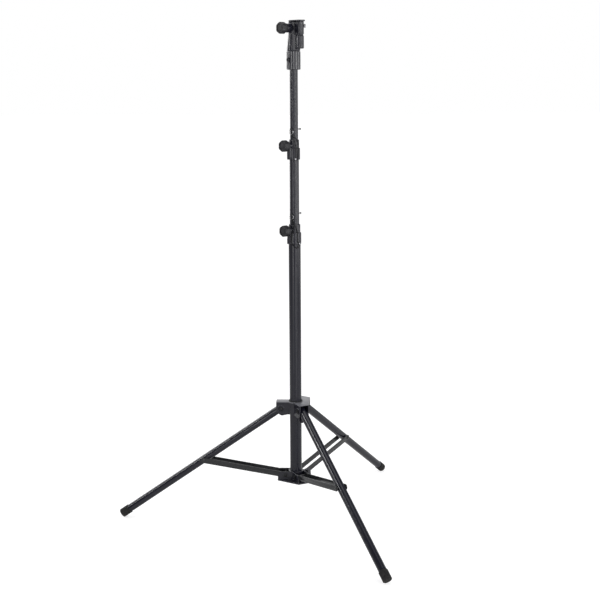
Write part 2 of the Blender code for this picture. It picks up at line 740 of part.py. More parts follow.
def add_cord(stand, name, route, base_height):
    """A round cord along a route of (angle, reach, height) points, heights measured from its collar."""
    places = [turn(angle) @ Vector((reach, 0, height + base_height)) for angle, reach, height in route]
    points = smooth_route(places)
    curve = bpy.data.curves.new(name, "CURVE")
    curve.dimensions = "3D"
    curve.bevel_depth = CORD_RADIUS
    curve.bevel_resolution = 2
    curve.use_fill_caps = True
    spline = curve.splines.new("POLY")
    spline.points.add(len(points) - 1)
    for target, point in zip(spline.points, points):
        target.co = (*point, 1.0)
    curve.materials.append(stand.materials["cord_black"])
    item = bpy.data.objects.new(name, curve)
    bpy.context.scene.collection.objects.link(item)
    item.parent = stand.root


def add_lanyards(stand):
    """Each cord is doubled: from its eyelet up through the pin's ring and back to the eyelet."""
    lower_route = [
        (-52.9, 0.0269, 0.0061), (-57.3, 0.0269, 0.0078), (-60.8, 0.0270, 0.0140), (-62.0, 0.0270, 0.0250),
        (-62.0, 0.0270, 0.0350), (-62.5, 0.0268, 0.0435), (-65.0, 0.0256, 0.0510), (-70.0, 0.0246, 0.0590),
        (-76.0, 0.0244, 0.0670), (-84.0, 0.0248, 0.0750), (-93.0, 0.0260, 0.0830), (-102.0, 0.0272, 0.0905),
        (-110.0, 0.0270, 0.0968), (-116.0, 0.0246, 0.0978), (-120.0, 0.0218, 0.0965), (-118.0, 0.0206, 0.0905),
        (-111.0, 0.0204, 0.0845), (-103.0, 0.0214, 0.0795), (-98.0, 0.0230, 0.0750), (-96.5, 0.0237, 0.0680),
        (-97.0, 0.0237, 0.0590), (-99.0, 0.0242, 0.0510), (-102.0, 0.0258, 0.0450), (-106.0, 0.0270, 0.0380),
        (-110.0, 0.0272, 0.0290), (-112.5, 0.0272, 0.0190), (-112.0, 0.0272, 0.0100), (-107.0, 0.0272, 0.0020),
        (-98.0, 0.0272, -0.0050), (-87.0, 0.0272, -0.0100), (-76.0, 0.0272, -0.0128), (-65.0, 0.0272, -0.0132),
        (-54.5, 0.0272, -0.0108), (-47.4, 0.0270, -0.0058), (-46.3, 0.0269, -0.0018),
    ]
    upper_route = [
        (-64.9, 0.0239, 0.0006), (-60.0, 0.0240, -0.0006), (-53.5, 0.0242, 0.0035), (-50.5, 0.0242, 0.0125),
        (-49.0, 0.0240, 0.0215), (-47.5, 0.0240, 0.0315), (-44.5, 0.0241, 0.0405), (-40.0, 0.0238, 0.0485),
        (-39.0, 0.0224, 0.0565), (-44.0, 0.0216, 0.0645), (-54.0, 0.0214, 0.0720), (-67.0, 0.0218, 0.0780),
        (-82.0, 0.0228, 0.0825), (-96.0, 0.0240, 0.0875), (-105.0, 0.0246, 0.0935), (-112.0, 0.0239, 0.0995),
        (-117.0, 0.0218, 0.1007), (-121.0, 0.0196, 0.0980), (-120.0, 0.0184, 0.0925), (-113.0, 0.0180, 0.0865),
        (-102.0, 0.0192, 0.0815), (-91.0, 0.0206, 0.0765), (-81.0, 0.0208, 0.0685), (-74.0, 0.0209, 0.0595),
        (-70.5, 0.0216, 0.0525), (-69.2, 0.0232, 0.0485), (-69.0, 0.0239, 0.0405), (-69.0, 0.0240, 0.0295),
        (-69.3, 0.0240, 0.0185), (-70.0, 0.0239, 0.0107), (-72.0, 0.0239, 0.0077),
    ]
    add_cord(stand, "lower_lanyard", lower_route, LOWER_COLLAR_Z)
    add_cord(stand, "upper_lanyard", upper_route, UPPER_COLLAR_Z)


def hub_cheek_mesh(side):
    """One side plate of a leg fork, with its rounded underside."""
    top = HUB_TOP_ABOVE_PIVOT
    root = math.sqrt(HUB_SLEEVE_RADIUS**2 - HUB_CHEEK_OUTER**2) - HUB_EDGE
    underside = [(HUB_CHEEK_REACH - inset, top - drop) for inset, drop in HUB_CHEEK_UNDERSIDE]
    outline = [(root, top), (HUB_CHEEK_REACH, top), *underside, (root, top - HUB_SLEEVE_HEIGHT)]
    low, high = sorted((side * HUB_CHEEK_INNER, side * HUB_CHEEK_OUTER))
    cheek = plate_across(outline, low, high)
    hole = cross_rod(BOLT_HOLE_RADIUS, -2 * HUB_CHEEK_OUTER, 2 * HUB_CHEEK_OUTER)
    return cut(cheek, [placed(hole, crosswise(0, HUB_PIVOT_REACH, 0))])


def star_outline(reach, half_width, disc):
    """Outline of three straight arms joined by a round middle."""
    corner = math.asin(half_width / disc)
    outline = []
    for angle in LEG_ANGLES.values():
        middle = math.radians(angle)
        for side in (-1, 1):
            spread = math.atan2(side * half_width, reach)
            outline.append((math.hypot(reach, half_width), middle + spread))
        arc_start = middle + corner
        arc_end = middle + 2 * math.pi / 3 - corner
        for step in range(PLATE_ARC_STEPS + 1):
            outline.append((disc, arc_start + (arc_end - arc_start) * step / PLATE_ARC_STEPS))
    return [(radius * math.cos(angle), radius * math.sin(angle)) for radius, angle in outline]


def add_hub(stand):
    """The sliding casting that carries the legs, with its bush, top plate and lock knob."""
    slide = stand.empty("hub_slide", upright(LEG_PIVOT_Z), stand.root)
    low = HUB_TOP_ABOVE_PIVOT - HUB_SLEEVE_HEIGHT
    top = HUB_TOP_ABOVE_PIVOT
    sleeve = lathe(
        [
            (0, low),
            (HUB_SLEEVE_RADIUS - HUB_EDGE, low),
            (HUB_SLEEVE_RADIUS, low + HUB_EDGE),
            (HUB_SLEEVE_RADIUS, top),
            (0, top),
        ],
        COLUMN_SIDES,
    )
    cheeks = [
        placed(hub_cheek_mesh(side), turn(angle)) for angle in LEG_ANGLES.values() for side in (-1, 1)
    ]
    tab_bottom = -HUB_KNOB_BELOW_PIVOT - HUB_TAB_BELOW_KNOB
    tab_outline = [
        (0, tab_bottom),
        (HUB_TAB_OUTER - HUB_TAB_CHAMFER, tab_bottom),
        (HUB_TAB_OUTER, tab_bottom + HUB_TAB_CHAMFER),
        (HUB_TAB_OUTER, low + HUB_TAB_CHAMFER),
        (HUB_SLEEVE_RADIUS - HUB_EDGE, low + 3 * HUB_TAB_CHAMFER),
        (0, low + 3 * HUB_TAB_CHAMFER),
    ]
    tab = placed(plate_across(tab_outline, -HUB_TAB_HALF_WIDTH, HUB_TAB_HALF_WIDTH), turn(HUB_KNOB_ANGLE))
    bore = rod(HUB_BORE, 2 * tab_bottom, 2 * top, COLUMN_SIDES)
    stud_hole = placed(
        cross_rod(STUD_HOLE_RADIUS, 0, 2 * HUB_TAB_OUTER), outward(HUB_KNOB_ANGLE, 0, -HUB_KNOB_BELOW_PIVOT)
    )
    casting = cut(united([sleeve, *cheeks, tab]), [bore, stud_hole])
    stand.add("hub_casting", casting, "cast_black", parent=slide)
    bush_inner = LOWER_TUBE_RADIUS + SLIDE_GAP
    bush_low = low - HUB_BUSH_WALL
    bush = tube_mesh(HUB_BUSH_RADIUS, HUB_BUSH_WALL, bush_low, top, COLUMN_SIDES)
    stand.add("hub_bush", bush, "nylon_black", parent=slide)
    plate_bottom = top + SEAT_GAP
    plate = prism(
        star_outline(HUB_CHEEK_REACH, HUB_CHEEK_OUTER, HUB_SLEEVE_RADIUS + HUB_PLATE_DISC_MARGIN),
        plate_bottom,
        plate_bottom + HUB_PLATE_THICKNESS,
    )
    hole_low = plate_bottom - HUB_PLATE_THICKNESS
    hole_high = plate_bottom + 2 * HUB_PLATE_THICKNESS
    plate_hole = rod(bush_inner, hole_low, hole_high, COLUMN_SIDES)
    stand.add("hub_top_plate", cut(plate, [plate_hole]), "hub_plate_grey", parent=slide)
    knob_base = HUB_TAB_OUTER + SEAT_GAP
    stand.add(
        "hub_knob",
        knob_mesh(HUB_KNOB_LENGTH, knob_base - LOWER_TUBE_RADIUS - SLIDE_GAP),
        "knob_plastic_black",
        outward(HUB_KNOB_ANGLE, knob_base, -HUB_KNOB_BELOW_PIVOT),
        slide,
    )
    for name, angle in LEG_ANGLES.items():
        bolt = bolt_mesh(HUB_CHEEK_OUTER)
        place = crosswise(angle, HUB_PIVOT_REACH, 0)
        stand.add(f"leg_pivot_bolt_{name}", bolt, "bolt_steel_black", place, slide)
    return slide


def foot_cap_mesh():
    """A rubber cup over the leg's end, along -Z from the pivot at z = 0."""
    bore = LEG_RADIUS + SEAT_GAP
    outer = bore + FOOT_CAP_WALL
    end = -LEG_LENGTH
    mouth = end + FOOT_CAP_LENGTH
    floor = end + FOOT_CAP_FLOOR
    rounding = [
        (outer - FOOT_CAP_ROUND * (1 - math.cos(turned)), end + FOOT_CAP_ROUND * (1 - math.sin(turned)))
        for turned in (0, math.pi / 4, math.pi / 2)
    ]
    inside = [(0, floor), (bore, floor), (bore, mouth)]
    lip = [(outer - FOOT_CAP_EDGE, mouth), (outer, mouth - FOOT_CAP_EDGE)]
    return lathe([*inside, *lip, *rounding, (0, end)], LEG_SIDES)


def add_legs(stand, slide):
    """Each leg hangs from its pivot along its own -Z, tilted out from the upright."""
    tube_end = -LEG_LENGTH + FOOT_CAP_FLOOR + SEAT_GAP
    spacer_end = BRACE_BAR_SPREAD - SEAT_GAP
    for name, angle in LEG_ANGLES.items():
        place = upright(0, angle, HUB_PIVOT_REACH) @ Matrix.Rotation(-LEG_TILT, 4, "Y")
        holes = [
            placed(cross_rod(BOLT_HOLE_RADIUS, -2 * LEG_RADIUS, 2 * LEG_RADIUS), crosswise(0, 0, -distance))
            for distance in (0, BRACE_BOLT_ALONG_LEG)
        ]
        tube = cut(tube_mesh(LEG_RADIUS, LEG_WALL, tube_end, LEG_TAIL, LEG_SIDES), holes)
        leg = stand.add(f"leg_{name}", tube, "powder_coat_black", place, slide)
        stand.add(f"foot_cap_{name}", foot_cap_mesh(), "rubber_black", parent=leg)
        spacer_start = LEG_RADIUS + SEAT_GAP
        shaft = loft(
            [
                ring_points(lambda a, r=radius: r, height, SMALL_SIDES)
                for radius, height in (
                    (SPACER_RADIUS, -spacer_end),
                    (SPACER_RADIUS, -spacer_start),
                    (PIVOT_BOLT_RADIUS, -spacer_start),
                    (PIVOT_BOLT_RADIUS, spacer_start),
                    (SPACER_RADIUS, spacer_start),
                    (SPACER_RADIUS, spacer_end),
                )
            ]
        )
        stand.add(
            f"brace_bolt_{name}", shaft, "bolt_steel_black", crosswise(0, 0, -BRACE_BOLT_ALONG_LEG), leg
        )


def round_end(radius):
    """The points of a half circle on the left of its centre, from its top to its foot."""
    angles = [math.pi / 2 + math.pi * step / ROUND_END_STEPS for step in range(ROUND_END_STEPS + 1)]
    return [(radius * math.cos(a), radius * math.sin(a)) for a in angles]


def brace_bar_mesh(side):
    """A flat bar with round ends: a hole at its inner pivot and a rivet head at its outer one."""
    outline = round_end(BRACE_BAR_HEIGHT / 2)
    outline += [(BRACE_LENGTH - x, -y) for x, y in outline]
    inner = BRACE_BAR_SPREAD
    outer = inner + BRACE_BAR_THICKNESS
    low, high = sorted((side * inner, side * outer))
    bar = plate_across(outline, low, high)
    hole = placed(cross_rod(BOLT_HOLE_RADIUS, -2 * outer, 2 * outer), crosswise(0, 0, 0))
    head = lathe(
        [
            (0, inner + BRACE_BAR_THICKNESS / 2),
            (BOLT_HEAD_RADIUS, inner + BRACE_BAR_THICKNESS / 2),
            (BOLT_HEAD_RADIUS, outer + BRACE_RIVET_HEIGHT / 2),
            (BOLT_DOME_RADIUS, outer + BRACE_RIVET_HEIGHT),
            (0, outer + BRACE_RIVET_HEIGHT),
        ],
        SMALL_SIDES,
    )
    facing = Matrix.Identity(4) if side > 0 else Matrix.Rotation(math.pi, 4, "X")
    head = placed(head, crosswise(0, BRACE_LENGTH, 0) @ facing)
    return united([cut(bar, [hole]), head])


def add_braces(stand):
    """Two flat bars for each leg, either side of it, turning on the bracket's bolt."""
    slope = math.atan2(BRACE_RISE, BRACE_RUN)
    for name, angle in LEG_ANGLES.items():
        hinge = stand.empty(
            f"brace_hinge_{name}",
            upright(BRACKET_PIVOT_Z, angle, BRACKET_PIVOT_REACH) @ Matrix.Rotation(-slope, 4, "Y"),
            stand.root,
        )
        for side, label in ((-1, "left"), (1, "right")):
            stand.add(f"brace_bar_{name}_{label}", brace_bar_mesh(side), "steel_bar_black", parent=hinge)


def add_bracket(stand):
    """The casting at the foot of the column: a ring, a three-sided base plate and three forks."""
    low = -BRACKET_BELOW_PIVOT
    top = low + BRACKET_HEIGHT
    inside_base = low + BRACKET_BASE_THICKNESS / 2
    ring = rod(BRACKET_RING_RADIUS, inside_base, top, COLUMN_SIDES)
    corners = []
    for angle in LEG_ANGLES.values():
        for side in (-1, 1):
            corners.append(turn(angle) @ Vector((BRACKET_REACH, side * BRACKET_CHEEK_OUTER, 0)))
    base = prism([(corner.x, corner.y) for corner in corners], low, low + BRACKET_BASE_THICKNESS)
    root = math.sqrt(BRACKET_RING_RADIUS**2 - BRACKET_CHEEK_OUTER**2) - BRACKET_EDGE
    outline = [
        (root, inside_base),
        (BRACKET_REACH - BRACKET_EDGE, inside_base),
        (BRACKET_REACH - BRACKET_EDGE, low + BRACKET_SHOULDER_HEIGHT),
        (BRACKET_TOP_REACH, top - BRACKET_EDGE),
        (root, top - BRACKET_EDGE),
    ]
    cheeks = []
    for angle in LEG_ANGLES.values():
        for side in (-1, 1):
            inner, outer = sorted((side * BRACKET_CHEEK_INNER, side * BRACKET_CHEEK_OUTER))
            cheeks.append(placed(plate_across(outline, inner, outer), turn(angle)))
    bore = rod(BRACKET_BORE, 2 * low, 2 * top, COLUMN_SIDES)
    holes = [
        placed(
            cross_rod(BOLT_HOLE_RADIUS, -2 * BRACKET_CHEEK_OUTER, 2 * BRACKET_CHEEK_OUTER),
            crosswise(angle, BRACKET_PIVOT_REACH, 0),
        )
        for angle in LEG_ANGLES.values()
    ]
    casting = cut(united([ring, base, *cheeks]), [bore, *holes])
    stand.add("bracket", casting, "cast_black", upright(BRACKET_PIVOT_Z))
    spacer = (SPACER_RADIUS, BRACE_BAR_SPREAD - SEAT_GAP)
    for name, angle in LEG_ANGLES.items():
        bolt = bolt_mesh(BRACKET_CHEEK_OUTER, spacer)
        place = crosswise(angle, BRACKET_PIVOT_REACH, BRACKET_PIVOT_Z)
        stand.add(f"bracket_bolt_{name}", bolt, "bolt_steel_black", place)


def ribbed_sleeve_mesh():
    """The head's lower sleeve, with upright ribs round it and plain edges."""
    count = 3 * HEAD_SLEEVE_RIBS

    def ribbed(angle):
        step = round(angle / (2 * math.pi) * count)
        return HEAD_SLEEVE_RADIUS - (HEAD_RIB_DEPTH if step % 3 == 0 else 0)

    def plain(angle):
        return HEAD_SLEEVE_RADIUS - HEAD_RIB_DEPTH

    sections = [
        (plain, 0),
        (ribbed, HEAD_RIB_DEPTH),
        (ribbed, HEAD_SLEEVE_HEIGHT - HEAD_RIB_DEPTH),
        (plain, HEAD_SLEEVE_HEIGHT),
    ]
    return loft([ring_points(radius_at, height, count) for radius_at, height in sections])


def head_casting_mesh():
    """Sleeve, tapered body, side barrel and bosses as one casting, with its sockets and screw holes."""
    body = lathe(
        [
            (0, HEAD_BODY_FOOT),
            (HEAD_SLEEVE_RADIUS - 2 * HEAD_RIB_DEPTH, HEAD_BODY_FOOT),
            (HEAD_SLEEVE_RADIUS - 2 * HEAD_RIB_DEPTH, HEAD_SLEEVE_HEIGHT + HEAD_SHOULDER_STEP),
            (HEAD_SLEEVE_RADIUS - HEAD_RIB_DEPTH / 2, HEAD_SHOULDER_HEIGHT),
            (HEAD_NECK_RADIUS, HEAD_TAPER_HEIGHT),
            (HEAD_NECK_RADIUS, HEAD_HEIGHT - HEAD_TOP_EDGE),
            (HEAD_NECK_RADIUS - HEAD_TOP_EDGE, HEAD_HEIGHT),
            (0, HEAD_HEIGHT),
        ],
        COLUMN_SIDES,
    )
    groove = HEAD_BARREL_RADIUS - HEAD_BARREL_GROOVE
    barrel = lathe(
        [
            (0, HEAD_BARREL_FLOOR),
            (HEAD_BARREL_RADIUS - HEAD_BARREL_EDGE, HEAD_BARREL_FLOOR),
            (HEAD_BARREL_RADIUS, HEAD_BARREL_FLOOR + HEAD_BARREL_EDGE),
            (HEAD_BARREL_RADIUS, HEAD_GROOVE_LOW),
            (groove, HEAD_GROOVE_LOW + HEAD_BARREL_GROOVE),
            (groove, HEAD_GROOVE_HIGH - HEAD_BARREL_GROOVE),
            (HEAD_BARREL_RADIUS, HEAD_GROOVE_HIGH),
            (HEAD_BARREL_RADIUS, HEAD_HEIGHT - HEAD_TOP_EDGE),
            (HEAD_BARREL_RADIUS - HEAD_TOP_EDGE, HEAD_HEIGHT),
            (0, HEAD_HEIGHT),
        ],
        BOSS_SIDES,
    )
    barrel = placed(barrel, upright(0, HEAD_SIDE_ANGLE, HEAD_BARREL_OFFSET))
    web_outline = [
        (0, HEAD_BARREL_FLOOR + HEAD_WEB_MARGIN),
        (HEAD_BARREL_OFFSET, HEAD_BARREL_FLOOR + HEAD_WEB_MARGIN),
        (HEAD_BARREL_OFFSET, HEAD_HEIGHT - HEAD_WEB_MARGIN / 2),
        (0, HEAD_HEIGHT - HEAD_WEB_MARGIN / 2),
    ]
    web = placed(plate_across(web_outline, -HEAD_WEB_WIDTH / 2, HEAD_WEB_WIDTH / 2), turn(HEAD_SIDE_ANGLE))
    knob_boss = placed(
        cross_rod(HEAD_KNOB_BOSS_RADIUS, 0, HEAD_KNOB_BOSS_REACH, BOSS_SIDES),
        outward(HEAD_KNOB_ANGLE, 0, HEAD_KNOB_HEIGHT),
    )
    screw_boss = placed(
        cross_rod(SCREW_BOSS_RADIUS, 0, HEAD_SLEEVE_RADIUS + SCREW_BOSS_HEIGHT, SMALL_SIDES),
        outward(SET_SCREW_ANGLE, 0, SET_SCREW_HEIGHT),
    )
    high = 2 * HEAD_HEIGHT
    tube_bore = rod(TOP_TUBE_RADIUS + SEAT_GAP, -HEAD_TUBE_SEAT, HEAD_TUBE_SEAT, COLUMN_SIDES)
    socket = rod(HEAD_SOCKET_RADIUS, HEAD_SOCKET_FLOOR, high, COLUMN_SIDES)
    side_socket = placed(
        rod(HEAD_SIDE_SOCKET_RADIUS, HEAD_SIDE_SOCKET_FLOOR, high, BOSS_SIDES),
        upright(0, HEAD_SIDE_ANGLE, HEAD_BARREL_OFFSET),
    )
    stud_hole = placed(
        cross_rod(STUD_HOLE_RADIUS, 0, 2 * HEAD_KNOB_BOSS_REACH), outward(HEAD_KNOB_ANGLE, 0, HEAD_KNOB_HEIGHT)
    )
    screw_hole = SCREW_SHANK_RADIUS + HOLE_CLEARANCE
    set_hole = placed(
        cross_rod(screw_hole, 0, 2 * HEAD_SLEEVE_RADIUS), outward(SET_SCREW_ANGLE, 0, SET_SCREW_HEIGHT)
    )
    barrel_centre = turn(HEAD_SIDE_ANGLE) @ Vector((HEAD_BARREL_OFFSET, 0, 0))
    side_hole = placed(
        cross_rod(screw_hole, 0, 2 * HEAD_BARREL_RADIUS),
        Matrix.Translation(barrel_centre) @ outward(SIDE_SCREW_ANGLE, 0, SIDE_SCREW_HEIGHT),
    )
    solid = united([ribbed_sleeve_mesh(), body, web, barrel, knob_boss, screw_boss])
    return cut(solid, [tube_bore, socket, side_socket, stud_hole, set_hole, side_hole])


def cap_plate_mesh():
    """A flat plate with round ends over the main socket and the side barrel."""
    outline = round_end(CAP_PLATE_RADIUS)
    outline += [(HEAD_BARREL_OFFSET - x, -y) for x, y in round_end(HEAD_BARREL_RADIUS)]
    plate = placed(prism(outline, 0, CAP_PLATE_THICKNESS), turn(HEAD_SIDE_ANGLE))
    low = -CAP_PLATE_THICKNESS
    high = 2 * CAP_PLATE_THICKNESS
    holes = [
        rod(HEAD_SOCKET_RADIUS, low, high, COLUMN_SIDES),
        placed(
            rod(HEAD_SIDE_SOCKET_RADIUS, low, high, BOSS_SIDES),
            upright(0, HEAD_SIDE_ANGLE, HEAD_BARREL_OFFSET),
        ),
    ]
    return cut(plate, holes)


def screw_mesh(shank_length):
    """A cylinder-head screw along Z, its head seated at z = 0 and its shank below."""
    return lathe(
        [
            (0, -shank_length),
            (SCREW_SHANK_RADIUS, -shank_length),
            (SCREW_SHANK_RADIUS, SEAT_GAP),
            (SCREW_HEAD_RADIUS, SEAT_GAP),
            (SCREW_HEAD_RADIUS, SCREW_HEAD_HEIGHT - SCREW_EDGE),
            (SCREW_HEAD_RADIUS - SCREW_EDGE, SCREW_HEAD_HEIGHT),
            (SCREW_RECESS_RADIUS, SCREW_HEAD_HEIGHT),
            (SCREW_RECESS_RADIUS, SCREW_HEAD_HEIGHT - SCREW_RECESS_DEPTH),
            (0, SCREW_HEAD_HEIGHT - SCREW_RECESS_DEPTH),
        ],
        SMALL_SIDES,
    )


def add_head(stand):
    """The adapter on the top tube, with its cap plate, knob and two screws."""
    head = stand.empty("head", upright(HEAD_Z), stand.root)
    stand.add("head_casting", head_casting_mesh(), "cast_black", parent=head)
    stand.add("head_cap_plate", cap_plate_mesh(), "cast_black", upright(HEAD_HEIGHT + SEAT_GAP), head)
    knob_base = HEAD_KNOB_BOSS_REACH + SEAT_GAP
    stand.add(
        "head_knob",
        knob_mesh(KNOB_LENGTH, knob_base - HEAD_SOCKET_RADIUS - SEAT_GAP),
        "knob_plastic_black",
        outward(HEAD_KNOB_ANGLE, knob_base, HEAD_KNOB_HEIGHT),
        head,
    )
    boss_face = HEAD_SLEEVE_RADIUS + SCREW_BOSS_HEIGHT
    stand.add(
        "head_set_screw",
        screw_mesh(boss_face - TOP_TUBE_RADIUS - SEAT_GAP),
        "bolt_steel_black",
        outward(SET_SCREW_ANGLE, boss_face, SET_SCREW_HEIGHT),
        head,
    )
    barrel_centre = turn(HEAD_SIDE_ANGLE) @ Vector((HEAD_BARREL_OFFSET, 0, 0))
    stand.add(
        "head_side_screw",
        screw_mesh(HEAD_BARREL_RADIUS - HEAD_SIDE_SOCKET_RADIUS - SEAT_GAP),
        "screw_steel",
        Matrix.Translation(barrel_centre) @ outward(SIDE_SCREW_ANGLE, HEAD_BARREL_RADIUS, SIDE_SCREW_HEIGHT),
        head,
    )


def set_down(root):
    """Move the whole stand so that its feet rest on z = 0 and its footprint is centred on the origin."""
    bpy.context.view_layer.update()
    solids = [item for item in bpy.data.objects if item.type == "MESH"]
    points = [item.matrix_world @ corner.co for item in solids for corner in item.data.vertices]
    low = Vector([min(point[axis] for point in points) for axis in range(3)])
    high = Vector([max(point[axis] for point in points) for axis in range(3)])
    root.location = (-(low.x + high.x) / 2, -(low.y + high.y) / 2, -low.z)
    bpy.context.view_layer.update()


def main():
    clear_scene()
    stand = Stand()
    add_column_tubes(stand)
    add_clamp(
        stand, "lower", LOWER_COLLAR_Z, LOWER_TUBE_RADIUS, MIDDLE_TUBE_RADIUS,
        LOWER_SKIRT_WALL, LOWER_BUSH_WALL, LOWER_RIB_REACH, LOWER_EYELET_ANGLE,
    )
    add_clamp(
        stand, "upper", UPPER_COLLAR_Z, MIDDLE_TUBE_RADIUS, TOP_TUBE_RADIUS,
        UPPER_SKIRT_WALL, UPPER_BUSH_WALL, UPPER_RIB_REACH, UPPER_EYELET_ANGLE,
    )
    add_safety_pin(stand, "lower", MIDDLE_TUBE_RADIUS, LOWER_PIN_Z)
    add_safety_pin(stand, "upper", TOP_TUBE_RADIUS, UPPER_PIN_Z)
    add_lanyards(stand)
    slide = add_hub(stand)
    add_legs(stand, slide)
    add_braces(stand)
    add_bracket(stand)
    add_head(stand)
    set_down(stand.root)


main()
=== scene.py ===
"""A black studio light stand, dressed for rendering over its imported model.

Metres, +Z up. Sizes are in the stand's own frame, whose Z axis is the column's, and STAND_PLACE sets every
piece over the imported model. A direction round the column is an angle in degrees from +X.
"""

import math
from collections import namedtuple

import bmesh
import bpy
from mathutils import Matrix, Vector
from mathutils.geometry import interpolate_bezier


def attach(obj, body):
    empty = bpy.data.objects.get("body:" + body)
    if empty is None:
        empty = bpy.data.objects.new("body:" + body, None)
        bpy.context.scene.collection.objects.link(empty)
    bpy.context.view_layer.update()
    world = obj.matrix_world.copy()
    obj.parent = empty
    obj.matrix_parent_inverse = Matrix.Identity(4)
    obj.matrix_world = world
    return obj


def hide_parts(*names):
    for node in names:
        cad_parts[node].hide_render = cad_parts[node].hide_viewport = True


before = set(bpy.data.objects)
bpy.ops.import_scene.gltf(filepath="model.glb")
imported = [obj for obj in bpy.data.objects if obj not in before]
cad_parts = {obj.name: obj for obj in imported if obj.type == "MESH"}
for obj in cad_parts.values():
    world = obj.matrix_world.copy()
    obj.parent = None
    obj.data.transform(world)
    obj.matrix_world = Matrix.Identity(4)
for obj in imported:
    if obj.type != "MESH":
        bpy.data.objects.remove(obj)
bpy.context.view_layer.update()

STAND_PLACE = Matrix.Translation((0.168881, 0.0, 0.013001))

# Camera
CAMERA_ASIDE = 0.2459
CAMERA_BACK = 4.3310
CAMERA_HEIGHT = 1.676
CAMERA_TURN = math.radians(0.249)
CAMERA_PITCH = math.radians(10.51)
CAMERA_ROLL = math.radians(0.306)
CAMERA_SENSOR = 36.0
CAMERA_LENS = 70.0

# Lamps: name, bearing to the right of the camera's side, reach, height, width, length and watts
CAMERA_ANGLE = -86.75
LAMP_AIM = (STAND_PLACE.translation.x, 0.0, 0.95)
SOFTBOXES = [
    ("left_strip", -27.0, 3.2, 1.6, 0.25, 2.6, 16.0),
    ("right_strip", 38.0, 3.4, 1.5, 0.24, 2.6, 16.0),
    ("right_softbox", 70.0, 3.2, 1.7, 2.40, 2.4, 44.0),
    ("left_rear_softbox", -138.0, 3.2, 2.0, 1.2, 2.4, 40.0),
    ("right_rear_softbox", 114.0, 3.2, 1.3, 1.3, 2.2, 7.0),
    ("left_high_strip", -78.0, 3.0, 2.2, 0.20, 1.2, 20.0),
]
TOP_SOFTBOX_PLACE = (0.2, 0.3, 4.8)
TOP_SOFTBOX_SIDE = 3.0
TOP_SOFTBOX_WATTS = 42.0

# World: strengths, and directions with the cosines between which each one fades in
WHITE = (1.0, 1.0, 1.0, 1.0)
WORLD_LIGHT = 0.30
BACKDROP_LIGHT = 1.0
BRIGHT_WALL = ((-0.55, 0.83, 0.10), 0.40, 0.80)
BRIGHT_WALL_LIGHT = 1.0
DARK_WALL_LIGHT = 0.11
FRONT_WINDOW = ((0.297, -0.955, 0.0), 0.84, 0.92)
FRONT_WINDOW_LIGHT = 2.6
ABOVE_GROUND = ((0.0, 0.0, 1.0), 0.005, 0.045)

# Floor, whose glowing stripes, seen only in reflections as painted highlights, are pairs of a bearing and a
# strength
FLOOR_HALF = 60.0
FLOOR_HEIGHT = -0.0005
FLOOR_LIFT_NEAR = 0.68
FLOOR_LIFT_FAR = 0.90
FLOOR_LIFT_FROM = 1.0
FLOOR_LIFT_TO = 5.0
FLOOR_REFLECTED_GLOW = 0.22
FLOOR_GLOW_STRIPES = [(-38.0, 1.5), (17.0, 2.6)]
FLOOR_STRIPE_EDGE = 0.990
FLOOR_STRIPE_FULL = 0.999
FLOOR_STRIPE_NEAR = 1.0
FLOOR_STRIPE_FAR = 4.5

# Clearances between pieces
SEAT_GAP = 0.0003
SLIDE_GAP = 0.0003
HOLE_CLEARANCE = 0.0003
STUD_CLEARANCE = 0.0004

# Lengths too short to keep, and how far a cutting shape runs past the piece that it cuts
MERGE_DISTANCE = 0.000001
DEGENERATE_LENGTH = 0.000002
CUT_PAST = 0.01

# Facets round each kind of piece, and the angles from which an edge stays sharp
TUBE_SIDES = 96
CAST_SIDES = 64
BOLT_SIDES = 36
CORD_SIDES = 12
SHARP_ANGLE = 40.0
ALL_SMOOTH = 180.0
BEVEL_ANGLE = 35.0

# Small edges
TURNED_EDGE = 0.0004
PRESSED_EDGE = 0.0006
CAST_EDGE = 0.0010
FINE_CAST_EDGE = 0.0008

# Castings: the grid that each is melted together on, how often it is smoothed and the share of faces kept
COLLAR_GRAIN = 0.0006
HUB_GRAIN = 0.0007
BRACKET_GRAIN = 0.0007
HEAD_GRAIN = 0.0008
CAST_SMOOTHINGS = 3
CAST_KEPT = 0.45
HEAD_KEPT = 0.5

# Column tubes
LOWER_TUBE_RADIUS = 0.0225
MIDDLE_TUBE_RADIUS = 0.0175
TOP_TUBE_RADIUS = 0.0150
TUBE_WALL = 0.0015
LOWER_TUBE_LENGTH = 0.9610
MIDDLE_TUBE_LENGTH = 0.8400
TOP_TUBE_LENGTH = 0.5820
MIDDLE_STAGE_SHOWN = 0.2400
TOP_STAGE_SHOWN = 0.2525
PLUG_HEIGHT = 0.0180
PLUG_FLANGE = 0.0060
PLUG_WALL = 0.0030

# Ribs of knob necks and foot caps: depth and half width at the root, then height and half width at the tip
KNOB_NECK_RIB = (0.0004, 0.0007, 0.0012, 0.0005)
FOOT_RIB = (0.0004, 0.0008, 0.0005, 0.0004)

# Legs and foot caps, whose lip is points inwards and down from the mouth's rim
LEG_ANGLES = {"a": 180.0, "b": -60.0, "c": 60.0}
LEG_RADIUS = 0.0150
LEG_LENGTH = 0.7680
LEG_TILT = math.radians(55.3)
LEG_TAIL = 0.0140
FOOT_CAP_WALL = 0.0020
FOOT_CAP_LENGTH = 0.0380
FOOT_CAP_FLOOR = 0.0050
FOOT_CAP_ROUND = 0.0030
FOOT_CAP_WAIST = 0.0006
FOOT_CAP_LIP = [(0.0010, 0.0), (0.0002, 0.0005), (0.0, 0.0014), (0.0, 0.0042), (FOOT_CAP_WAIST, 0.0050)]
TREAD_GROOVES = 3
TREAD_BOTTOM = 0.0030
TREAD_PITCH = 0.0032
TREAD_DEPTH = 0.0007
TREAD_GROOVE_HEIGHT = 0.0010
TREAD_SLOPE_TOP = 0.0014
TREAD_TOP = 0.0028
FOOT_RIBS = 24
